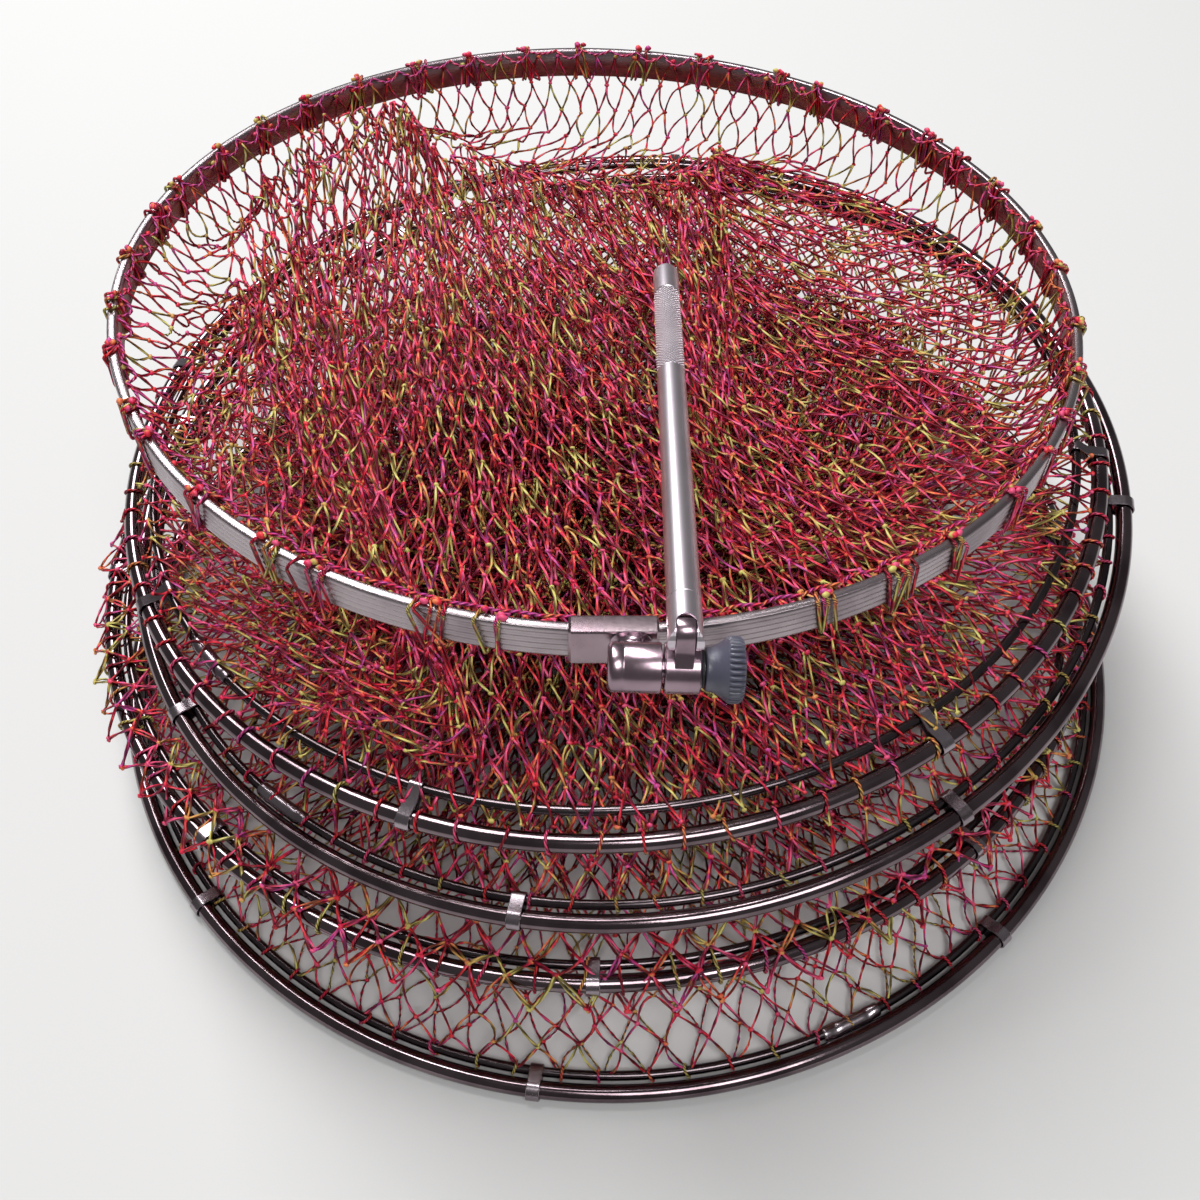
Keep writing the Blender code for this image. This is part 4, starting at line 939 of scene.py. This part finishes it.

# %% [markdown]
# A netting is laid as one mesh for a band of rows. Each point of it has two numbers: how far
# along the dyed twine it is, which is kept on the mesh and colours it, and how far up the netting
# it is, from 0 at the lower ring to 1 at the upper one. A netting between two bodies is set out
# along a line by that second number for a moment and then given its real places; it rides on
# neither body.

# %% Laying a netting
def lay_netting(name, knots, shares, bodies, rows, bow=0.0011, droop=0.0004, top_knots=True, plain=False):
    """Bars and knots of rows of a netting. knots is (rows, meshes, 3), shares how far up each row is."""
    low, high = rows
    stations, sides, shape = (3, 3, PLAIN_KNOT) if plain else (6, 4, TIDY_KNOT)
    step = np.linspace(0, 1, stations)
    bars, dyes, bar_shares = [], [], []
    meshes = knots.shape[1]
    mesh_index = np.arange(meshes)
    for row in range(low, high):
        odd = row % 2
        right = (mesh_index + odd) % meshes
        left = (mesh_index + odd - 1) % meshes
        along_row = 2 * mesh_index + 2 * meshes * row
        for target, sign in ((right, 1), (left, -1)):
            bars.append(bar_points(knots[row], knots[row + 1][target], bow, droop, stations, sides))
            run = along_row[:, None] + sign * step
            dyes.append(run / DYE_REPEAT)
            bar_shares.append(shares[row] + (shares[row + 1] - shares[row]) * step + 0 * run)
    bars = np.concatenate(bars)
    bars[..., 2] = np.maximum(bars[..., 2], BARS_CLEAR)
    knot_rows = np.arange(low, high + (1 if top_knots else 0))
    places = knots[knot_rows].reshape(-1, 3)
    axis = (np.roll(knots, -1, 1) - np.roll(knots, 1, 1))[knot_rows].reshape(-1, 3)
    rise = np.gradient(knots, axis=0)[knot_rows].reshape(-1, 3)
    lumps = place_knots(places, axis, rise, KNOT_SIZE, shape)
    lumps[..., 2] = np.maximum(lumps[..., 2], KNOTS_CLEAR)
    along_rows = (2 * mesh_index + 2 * meshes * knot_rows[:, None]).reshape(-1, 1)
    knot_dye = along_rows / DYE_REPEAT + 0.02 * shape[0][None, :, 0]
    knot_share = np.repeat(shares[knot_rows], meshes)[:, None] + 0 * knot_dye

    groups, uv = tube_faces(len(bars), stations, sides, False, (1 / (stations - 1), 1 / sides))
    lump_groups = knot_faces(shape, len(lumps), len(bars) * stations * sides)
    uv += [np.zeros(group.shape + (2,)) for group in lump_groups]
    points = np.concatenate([bars.reshape(-1, 3), lumps.reshape(-1, 3)])
    piece = lay_mesh(name, points, groups + lump_groups, uv)
    store_dye(piece, np.concatenate([np.repeat(np.concatenate(dyes), sides), knot_dye.ravel()]))
    all_shares = np.concatenate([np.repeat(np.concatenate(bar_shares), sides), knot_share.ravel()])
    piece.data.materials.append(twine_finish)
    if len(bodies) == 1:
        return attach(piece, bodies[0])
    ladder = np.zeros((len(points), 3), np.float32)
    ladder[:, 2] = all_shares
    piece.data.vertices.foreach_set("co", ladder.ravel())
    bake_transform(piece)
    piece.data.vertices.foreach_set("co", points.astype(np.float32).ravel())
    piece.data.update()
    return piece


def knots_of(surface):
    """Knots from a surface sampled at every half mesh: odd rows take the places in between."""
    rows, places = np.arange(len(surface))[:, None], surface.shape[1]
    return surface[rows, (np.arange(0, places, 2)[None] + rows % 2) % places]


def wander(surface, reach, waves, fade):
    """Slow random shifts over a netting: sums of waves round it and up it, still at rows where fade is 0."""
    around = headings_round(surface.shape[1])
    up = np.linspace(0, 1, len(surface))[:, None]
    shift = np.zeros(surface.shape)
    for wave in waves:
        phase = rng.uniform(0, TURN, (2, 3))
        tilt = rng.uniform(-2.5, 2.5, 3)
        amount = rng.normal(0, 1, 3) / np.sqrt(len(waves))
        for axis in range(3):
            swings = wave * around + phase[0, axis] + tilt[axis] * up * TURN / 2
            shift[..., axis] += amount[axis] * np.sin(swings)
    return shift * reach * fade[:, None, None]


print("meshes round the net:", UPPER_MESHES, "and", MESHES)

# %% [markdown]
# ## The first netting: veil, crest and fan
#
# This is the netting that the photograph is about. From the mouth strip it falls inwards as a veil,
# runs back to a crest near the far side, turns under through a narrow curved throat, and comes out
# again as a fan to the first pair of rings. The throat is a closed curve through sixteen measured
# points, and the veil hangs between it and a hem just inside the strip. Where throat and strip are
# far apart, at the front, the veil sags; where they are close, at the back, it is short.

# %% Throat, hem and veil
THROAT_LINE = np.array([
    (0.042, 0.103, 0.167), (0.053, 0.119, 0.164), (0.040, 0.130, 0.148), (-0.020, 0.136, 0.148),
    (-0.071, 0.140, 0.162), (-0.100, 0.131, 0.182), (-0.136, 0.104, 0.176), (-0.146, 0.053, 0.170),
    (-0.142, 0.016, 0.157), (-0.133, 0.052, 0.171), (-0.118, 0.097, 0.180), (-0.093, 0.124, 0.182),
    (-0.074, 0.123, 0.172), (-0.045, 0.117, 0.164), (-0.013, 0.108, 0.160), (0.018, 0.100, 0.159)])
around = headings_round(2 * UPPER_MESHES)
half_steps = around / TURN


def near_heading(degrees, width):
    """1 at a heading and falling away as a bell over width degrees to both sides."""
    away = (np.degrees(around) - degrees + 180) % 360 - 180
    return np.exp(-(away / width) ** 2)


# The right end of the throat is met at heading 25, its back-left rim at 130 and the left fold's end at 195.
# The columns at the front, from 225 round to 385, run over the crest.
headings = np.array([25, 77, 130, 165, 195, 225, 250, 285, 330, 385]) / 360
lip_places = np.array([0, 2.6, 5.2, 6.8, 8.0, 9.4, 11.2, 12.9, 14.6, 16])
lip = np.interp(np.where(half_steps < 25 / 360, half_steps + 1, half_steps), headings, lip_places)
lip = lip + 0.06 * np.sin(TURN * 13 * half_steps) + 0.04 * np.sin(TURN * 29 * half_steps + 1)
throat = through(THROAT_LINE, lip % len(THROAT_LINE), closed=True)
throat[:, 2] += 0.0015 * np.sin(TURN * 9 * half_steps) + 0.0010 * np.sin(TURN * 23 * half_steps + 2)
left_fold = near_heading(192, 30)
hem = on_ring(MOUTH, MOUTH_RADIUS - 0.0136 - 0.004 * left_fold, around, -0.0230 + 0.0150 * left_fold)
tied = on_ring(MOUTH, MOUTH_RADIUS - STRIP_THICKNESS - 0.0009, around, 0.0040)
ring_loop = on_ring(RING_PLACES[0], RING_RADIUS[0] - 0.0036, around, 0.0040)


FULL_SAG_GAP = 0.25


def hanging(near, far, share, sag):
    """Loop at a share of the way between two loops, let down by sag where they are far enough apart."""
    reach = np.clip(np.linalg.norm(far - near, axis=-1) / FULL_SAG_GAP, 0, 1)
    return near + (far - near) * np.reshape(share, (-1, 1)) - (sag * reach)[:, None] * [0, 0, 1]


veil_sags = [(0.030, -0.0030), (0.060, -0.0060), (0.130, 0.0090), (0.450, 0.0220),
             (0.75 + 0.10 * left_fold, 0.0120 - 0.0120 * left_fold)]
veil = [hanging(throat, hem, share, sag) for share, sag in veil_sags]
veil_gap = np.linalg.norm(hem - throat, axis=1)
print("veil reaches", veil_gap.min().round(3), "to", veil_gap.max().round(3), "m")

# %% [markdown]
# The same number of rows goes all round the tube, but the way from strip to wire is several times
# longer at the front than at the back. A real net puts its slack where it can lie, so the columns
# at the sides and back go on inwards below the veil and return. That is also what makes the heap
# in the middle so dense. Each column is then divided into rows of equal length along its own way,
# so the rows slant where slack begins, as they do along the crest in the photograph.

# %% Rows along each column
FOCUS = np.array([-0.010, -0.300, 0.0])


def even_rows(loops, rows):
    """Each column's smooth curve through the loops, cut at equal lengths: the curve is measured on a fine
    grid, its length is summed, and the place of each row is read off that sum."""
    fine = np.linspace(0, len(loops) - 1, 12 * (len(loops) - 1) + 1)
    curve = through(loops, fine)
    steps = np.linalg.norm(np.diff(curve, axis=0), axis=-1)
    run = np.concatenate([np.zeros((1, curve.shape[1])), steps.cumsum(0)])
    share = np.linspace(0, 1, rows + 1)
    at = np.stack([np.interp(share * total[-1], total, np.arange(len(fine))) for total in run.T], 1)
    low = np.clip(np.floor(at).astype(int), 0, len(fine) - 2)
    part = (at - low)[..., None]
    column = np.arange(curve.shape[1])[None]
    return curve[low, column] * (1 - part) + curve[low + 1, column] * part


def slackened(low, high, needed, most, towards, height):
    """Loop halfway between two loops, moved sideways so that the way over it is as long as needed:
    half that length and half the gap are the long and short sides of a right-angled triangle."""
    middle = (low + high) / 2
    gap = np.linalg.norm(high - low, axis=-1)
    depth = np.minimum(np.sqrt(np.maximum((needed / 2) ** 2 - (gap / 2) ** 2, 0)), most)
    moved = middle + unit((towards - middle) * [1, 1, 0]) * depth[:, None]
    moved[:, 2] = middle[:, 2] + (height - middle[:, 2]) * np.clip(depth / 0.04, 0, 1)
    return moved, depth


def still_at_ends(rows, quickness=7):
    """1 inside a netting and 0 at its two tied ends, over a few rows."""
    share = np.linspace(0, 1, rows + 1)
    return np.clip(np.minimum(share, 1 - share) * quickness, 0, 1)


FIRST_ROWS, TUBE_WAY, POOL_HEIGHT = 40, 0.550, 0.123
HEM_TO_STRIP = 0.030
veil_length = veil_gap + HEM_TO_STRIP
sideness = np.abs(np.cos(around))
pool, depth = slackened(
    ring_loop, throat, TUBE_WAY - veil_length, 0.180 - 0.030 * sideness,
    FOCUS + [0, 0.12, 0] * sideness[:, None], POOL_HEIGHT)
pool_high = pool + (throat - pool) * 0.5 - [0, 0, 0.002]
pool_low = pool + (ring_loop - pool) * 0.5 - [0, 0, 0.003]
wire_top = WIRE_UP[0] + WIRE_RADIUS + 0.0014
over_wire = on_ring(RING_PLACES[0], RING_RADIUS[0] - WIRE_IN[0], around, wire_top)
loops = np.stack([ring_loop, over_wire, pool_low, pool, pool_high, throat, *veil, hem, tied])
surface = even_rows(loops, FIRST_ROWS)
fade = still_at_ends(FIRST_ROWS)
surface = surface + wander(surface, 0.0034, (3, 5, 8, 13, 21), fade)
surface = surface + rng.normal(0, 0.0009, surface.shape) * fade[:, None, None]
first_knots = knots_of(surface)
row_share = np.linspace(0, 1, FIRST_ROWS + 1)
for band, (low, high) in enumerate(((0, 10), (10, 20), (20, 30), (30, 40)), 1):
    netting = lay_netting(f"veil_and_fan_{band}", first_knots, row_share, ("ring_1", "mouth"), (low, high),
                          top_knots=high == FIRST_ROWS)
    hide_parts("net_section_1")
    print(netting.name, "faces", len(netting.data.polygons))
print("slack folded in", depth.max().round(3), "m at most")
CREST = THROAT_LINE[[3, 13]].mean(0)

# %% [markdown]
# ## The nettings between the ring pairs
#
# Between two ring pairs the same tube of netting goes on. Folded flat, it leaves the upper wire,
# lies inwards in two long slack folds under the first netting and comes back to the lower wire. The
# upper two are full of net. The lowest is nearly straight, so its open diamonds stand between the
# last two pairs as in the photograph.

# %% Lower nettings
around = headings_round(2 * MESHES)
frontness = 0.5 - 0.5 * np.sin(around)


def lower_netting(number, row_count, front, back, tidy_rows):
    """Netting from ring pair number + 1 up to pair number. Its fold reaches in by front at the front and
    back at the back, towards the crest there and towards the focus here."""
    upper, lower = RING_PLACES[number - 1], RING_PLACES[number]
    top = on_ring(upper, RING_RADIUS[number - 1] - WIRE_IN[number - 1], around, WIRE_UP[number - 1] - 0.0005)
    low = on_ring(lower, RING_RADIUS[number] - WIRE_IN[number], around, WIRE_UP[number] + 0.0005)
    aim = frontness[:, None] * CREST + (1 - frontness[:, None]) * FOCUS
    middle = (top + low) / 2
    inward = unit((aim - middle) * [1, 1, 0])
    swing = 1 + 0.10 * np.sin(3 * around + number) + 0.07 * np.sin(8 * around)
    deep = (back + (front - back) * frontness ** 1.5) * swing
    reach = deep[:, None] * inward
    fold = [low, low + 0.5 * reach + [0, 0, 0.002], middle + reach - [0, 0, 0.004], middle + 0.35 * reach,
            middle + reach + [0, 0, 0.004], top + 0.5 * reach - [0, 0, 0.002], top]
    bands = [(0, tidy_rows, False), (tidy_rows, row_count - tidy_rows, True),
             (row_count - tidy_rows, row_count, False)]
    if tidy_rows == row_count:
        fold, bands = [low, middle + reach, top], [(0, row_count, False)]
    surface = even_rows(np.stack(fold), row_count)
    fade = still_at_ends(row_count, 6)
    surface = surface + wander(surface, min(0.0034, front * 0.12), (2, 5, 9, 17), fade)
    surface = surface + rng.normal(0, 0.0009, surface.shape) * fade[:, None, None]
    surface[..., 2] = np.maximum(surface[..., 2], 0.0035)
    share = np.linspace(0, 1, row_count + 1)
    bodies = (BODIES[number], BODIES[number - 1])
    for band, (first, last, plain) in enumerate(bands, 1):
        netting = lay_netting(f"netting_{number + 1}_{band}", knots_of(surface), share, bodies, (first, last),
                              top_knots=last == row_count, plain=plain)
        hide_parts(f"net_section_{number + 1}")
        print(netting.name, "faces", len(netting.data.polygons))


lower_netting(1, 62, 0.235, 0.180, 8)
lower_netting(2, 54, 0.230, 0.160, 8)
lower_netting(3, 6, 0.016, 0.014, 6)

# %% [markdown]
# ## The bottom netting
#
# The net ends in a bottom that lies on the ground. Near the lowest wire it is flat and its meshes
# are open. Further in it is slack and lies in three heaped layers, which close in on a small eye
# where the last meshes are gathered on one twine.

# %% Bottom netting
BOTTOM_ROWS = 38


def flat_loop(radius, height, swing=0.0):
    """Level loop about the lowest ring's middle, whose radius swings by a share of itself in slow waves."""
    reach = radius * (1 + swing * np.sin(2 * around + 40 * radius) + swing * np.sin(5 * around + 90 * radius))
    return on_ring(RING_PLACES[3], reach, around, 0.0) * [1, 1, 0] + [0, 0, height]


rim = RING_RADIUS[3] - WIRE_IN[3] - 0.0004
heap = [(0.010, 0.017, 0.0), (0.090, 0.018, 0.1), (0.150, 0.013, 0.05), (0.165, 0.009, 0.04),
        (0.120, 0.007, 0.08), (0.060, 0.006, 0.1), (0.050, 0.003, 0.1), (0.110, 0.0024, 0.03),
        (0.180, 0.0022, 0.0), (rim, 0.0042, 0.0)]
loops = np.stack([flat_loop(*loop) for loop in heap])
surface = even_rows(loops, BOTTOM_ROWS)
share = np.linspace(0, 1, BOTTOM_ROWS + 1)
fade = np.clip((1 - share) * 8, 0, 1) * np.clip(share * 6, 0.2, 1)
surface = surface + wander(surface, 0.0040, (3, 7, 12), fade) * [1, 1, 0.3]
surface = surface + rng.normal(0, 0.0011, surface.shape) * fade[:, None, None] * [1, 1, 0.5]
surface[..., 2] = np.maximum(surface[..., 2], 0.0021)
for band, (first, last, plain) in enumerate(((0, 30, True), (30, 38, False)), 1):
    netting = lay_netting(f"bottom_netting_{band}", knots_of(surface), share, ("bottom",), (first, last),
                          droop=0.0, plain=plain, top_knots=last == BOTTOM_ROWS)
    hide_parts("bottom_net")
    print(netting.name, "faces", len(netting.data.polygons))

# %% [markdown]
# ## Lashings
#
# The netting is tied to every ring by a turn of twine at every mesh. On the first pair the turns go
# round the tube, on the third round tube and wire together, and on the others round the wire. The
# mouth strip is wrapped in small clusters that slant this way and that, with knots on its upper
# edge and here and there a slack loop that hangs over the outer face.

# %% Laying a lashing
LASHING_RADIUS, LASHING_SIDES, LASHING_BARS = 0.00055, 5, 2.2


def lay_lashings(name, paths, hint, body):
    """Closed loops of twine along paths (copies, stations, 3), each at its own place on the dyed twine."""
    across, up = square_to(paths, hint + 0 * paths, True)
    points = carry(paths, across, up, round_section(LASHING_RADIUS, LASHING_SIDES))
    piece = lay_tubes(name, points, closed=True, scale=(0.25, 1 / LASHING_SIDES))
    length = np.linspace(0, LASHING_BARS, paths.shape[1]) / DYE_REPEAT
    dyes = rng.uniform(0, 40, (len(paths), 1)) + length
    store_dye(piece, np.repeat(dyes, LASHING_SIDES))
    return fit(piece, twine_finish, "netting", body)


LASHED_OUTLINES = [
    round_section(TUBE_RADIUS + 0.0005, 12),
    round_section(WIRE_RADIUS + 0.0005, 12) + [-WIRE_IN[1], WIRE_UP[1]],
    belt(WIRE_IN[2], WIRE_UP[2], 0.0006, None, 12, 8),
    round_section(WIRE_RADIUS + 0.0005, 12) + [-WIRE_IN[3], WIRE_UP[3]],
]
for number, outline in enumerate(LASHED_OUTLINES):
    angles = TURN * (np.arange(MESHES) + rng.uniform(-0.12, 0.12, MESHES)) / MESHES
    phase = headings_round(len(outline))
    slant = rng.uniform(-0.0020, 0.0020, (MESHES, 1))
    swell = 1 + rng.uniform(0.0, 0.05, (MESHES, 1))
    local = np.stack([outline[None, :, 0] * swell, slant * np.sin(phase), outline[None, :, 1] * swell], -1)
    paths = from_ring(RING_PLACES[number], RING_RADIUS[number], angles[:, None], local)
    hint = tangent_at(RING_PLACES[number], angles[:, None])
    lay_lashings(f"wire_lashings_{number + 1}", paths, hint, BODIES[number])
print("wire lashings:", 4 * MESHES)

# %% [markdown]
# On the third pair the netting also crosses the tube's outer side: its diamonds are tied above the
# rings, in front of the tube and below it, so knots and doubled twine show there.

# %% Diamonds over the third pair
over_tube = np.stack([
    on_ring(RING_PLACES[2], RING_RADIUS[2] + out, around, up)
    for out, up in ((0.0080, -0.0030), (0.0006, 0.0048), (-0.0075, 0.0052), (-0.0160, 0.0075))])
over_tube = over_tube + rng.normal(0, 0.0010, over_tube.shape)
for copy in (1, 2):
    knots = knots_of(over_tube + rng.normal(0, 0.0004, over_tube.shape))
    lay_netting(f"tube_diamonds_{copy}", knots, np.linspace(0, 1, 4), ("ring_3",), (0, 3), bow=0.0007)
print("knots over the third pair:", 2 * 4 * MESHES)

# %% [markdown]
# The wraps round the mouth strip come in clusters of three, and some have a second, slacker wrap
# beside them. A twine runs along the strip's inner edge from mesh to mesh, and a knot sits on the
# upper edge at each wrap.

# %% Strip lashings
CLUSTERS, WRAPS = 40, 3
cluster = TURN * (np.arange(CLUSTERS) + rng.uniform(-0.25, 0.25, CLUSTERS)) / CLUSTERS
from_sleeve = (cluster - SLEEVE_ANGLE + np.pi) % TURN - np.pi
cluster = cluster[(from_sleeve < -0.12) | (from_sleeve > 0.20)]
angles = np.repeat(cluster, WRAPS) + rng.normal(0, 0.010, len(cluster) * WRAPS)
mesh_angle = headings_round(MESHES)


def strip_wraps(angles, grow, hang, slant):
    """Loops round the strip's section: a rounded box, grown by grow, hung by hang on its outer side and
    slanted, and the ring's direction at each."""
    box = rounded_box(STRIP_THICKNESS / 2 + 0.0006, half_height + 0.0006, 0.0008)
    phase = np.arctan2(box[:, 1] / half_height, box[:, 0] / STRIP_THICKNESS)
    outer_side = np.clip(np.cos(phase), 0, 1)
    out = -STRIP_THICKNESS / 2 + box[None, :, 0]
    out = out + (grow * 0.6)[:, None] * outer_side + (hang * 0.45)[:, None] * outer_side
    up = box[None, :, 1] - hang[:, None] * (outer_side * 0.35 + np.clip(-np.sin(phase), 0, 1) * 0.65)
    along = slant[:, None] * np.sin(phase + 0.6)[None]
    local = np.stack([out, along, up], -1)
    return from_ring(MOUTH, MOUTH_RADIUS, angles[:, None], local), tangent_at(MOUTH, angles[:, None])


count = len(angles)
grow, hang = rng.uniform(0, 0.0006, count), rng.uniform(0, 0.0008, count)
paths, hint = strip_wraps(angles, grow, hang, rng.normal(0, 0.0017, count))
lay_lashings("strip_wraps", paths, hint, "mouth")
second = rng.random(count) < 0.30
picked = angles[second] + rng.uniform(-0.02, 0.02, second.sum())
hang = rng.choice([0.0004, 0.0012, 0.0035, 0.0060], second.sum(), p=[0.35, 0.3, 0.2, 0.15])
grow, slant = rng.uniform(0, 0.0012, len(picked)), rng.normal(0, 0.0030, len(picked))
paths, hint = strip_wraps(picked, grow, hang, slant)
lay_lashings("strip_second_wraps", paths, hint, "mouth")

EDGE_STEPS = 6
step_share = np.tile(np.arange(EDGE_STEPS) / EDGE_STEPS, MESHES)
zigzag_angle = np.repeat(mesh_angle, EDGE_STEPS) + step_share * TURN / MESHES
depth = np.repeat(rng.uniform(0.001, 0.0045, MESHES), EDGE_STEPS) * np.sin(np.pi * step_share)
inner_edge = MOUTH_RADIUS - STRIP_THICKNESS - 0.0009
zigzag = on_ring(MOUTH, inner_edge - depth, zigzag_angle, half_height + 0.0004 - depth * 0.7)
lay_lashings("edge_twine", zigzag[None], MOUTH[0][:, 2], "mouth")

knot_radius = MOUTH_RADIUS - STRIP_THICKNESS / 2 + rng.normal(-0.0004, 0.0009, count)
knot_place = on_ring(MOUTH, knot_radius, angles + rng.normal(0, 0.006, count), half_height + 0.0016)
outward = on_ring(MOUTH, 1.0, angles, 0.0) - MOUTH[1]
lumps = place_knots(knot_place, np.cross(outward, MOUTH[0][:, 2]), outward, 0.0011, TIDY_KNOT)
knots = lay_mesh("strip_knots", lumps, knot_faces(TIDY_KNOT, len(lumps)))
store_dye(knots, np.repeat(rng.uniform(0, 40, count), len(TIDY_KNOT[0])))
fit(knots, twine_finish, "netting", "mouth")
print("strip wraps:", count + len(picked))

# %% [markdown]
# ## Floor and light
#
# The object stands on a plain pale floor. Light comes from a tall soft lamp high behind it on the
# left, which draws the long highlights on rod and rings, from a weaker square one high in front,
# and from a dim pale world all round, so that the dark metal has something to reflect.

# %% Floor
FLOOR_HALF = 4.0
grid = np.linspace(-FLOOR_HALF, FLOOR_HALF, 9)
first, second = np.meshgrid(grid, grid, indexing="ij")
floor_points = np.stack([first, second, 0 * first], -1)
floor = lay_mesh("floor", floor_points, [grid_faces(9, 9, False, False)[0]])
if floor.data.polygons[0].normal.z < 0:
    floor.data.flip_normals()
pale = Finish("pale_floor", Roughness=0.9, Specular_IOR_Level=0.2)
pale.feed(Base_Color=pale.mix(pale.noise(3.0), (0.640, 0.638, 0.635), (0.625, 0.623, 0.620)))
floor.data.materials.append(pale.material)
print("floor", 2 * FLOOR_HALF, "m wide")

# %% [markdown]
# A lamp is turned by the direction between two points: where it stands and what it looks at.

# %% Lamps and world
def lamp(name, place, aim, wide, tall, watts):
    """A flat soft lamp at a place, aimed at a point."""
    data = bpy.data.lights.new(name, "AREA")
    data.shape, data.size, data.size_y, data.energy = "RECTANGLE", wide, tall, watts
    item = bpy.data.objects.new(name, data)
    bpy.context.scene.collection.objects.link(item)
    item.location = place
    item.rotation_mode = "QUATERNION"
    item.rotation_quaternion = (Vector(aim) - Vector(place)).to_track_quat("-Z", "Y")
    return item


WINDOW_WATTS, CARD_WATTS, WORLD_STRENGTH = 86, 27, 0.14
MIDDLE_OF_NET = (0, 0, 0.1)
lamp("window", (-0.60, 1.40, 2.30), MIDDLE_OF_NET, 0.8, 2.2, WINDOW_WATTS)
lamp("card", (0.35, -1.10, 2.20), MIDDLE_OF_NET, 1.0, 1.0, CARD_WATTS)
world = bpy.data.worlds.new("studio")
bpy.context.scene.world = world
world.use_nodes = True
world.node_tree.nodes["Background"].inputs["Color"].default_value = (1.0, 0.99, 0.985, 1.0)
world.node_tree.nodes["Background"].inputs["Strength"].default_value = WORLD_STRENGTH
bpy.context.scene.view_settings.view_transform = "Standard"
print("lamps:", 2)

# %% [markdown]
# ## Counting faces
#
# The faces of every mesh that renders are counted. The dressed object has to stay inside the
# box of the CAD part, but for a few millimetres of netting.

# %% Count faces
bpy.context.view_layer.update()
shown = [item for item in bpy.data.objects if item.type == "MESH" and not item.hide_render]
print("faces:", sum(len(item.data.polygons) for item in shown))
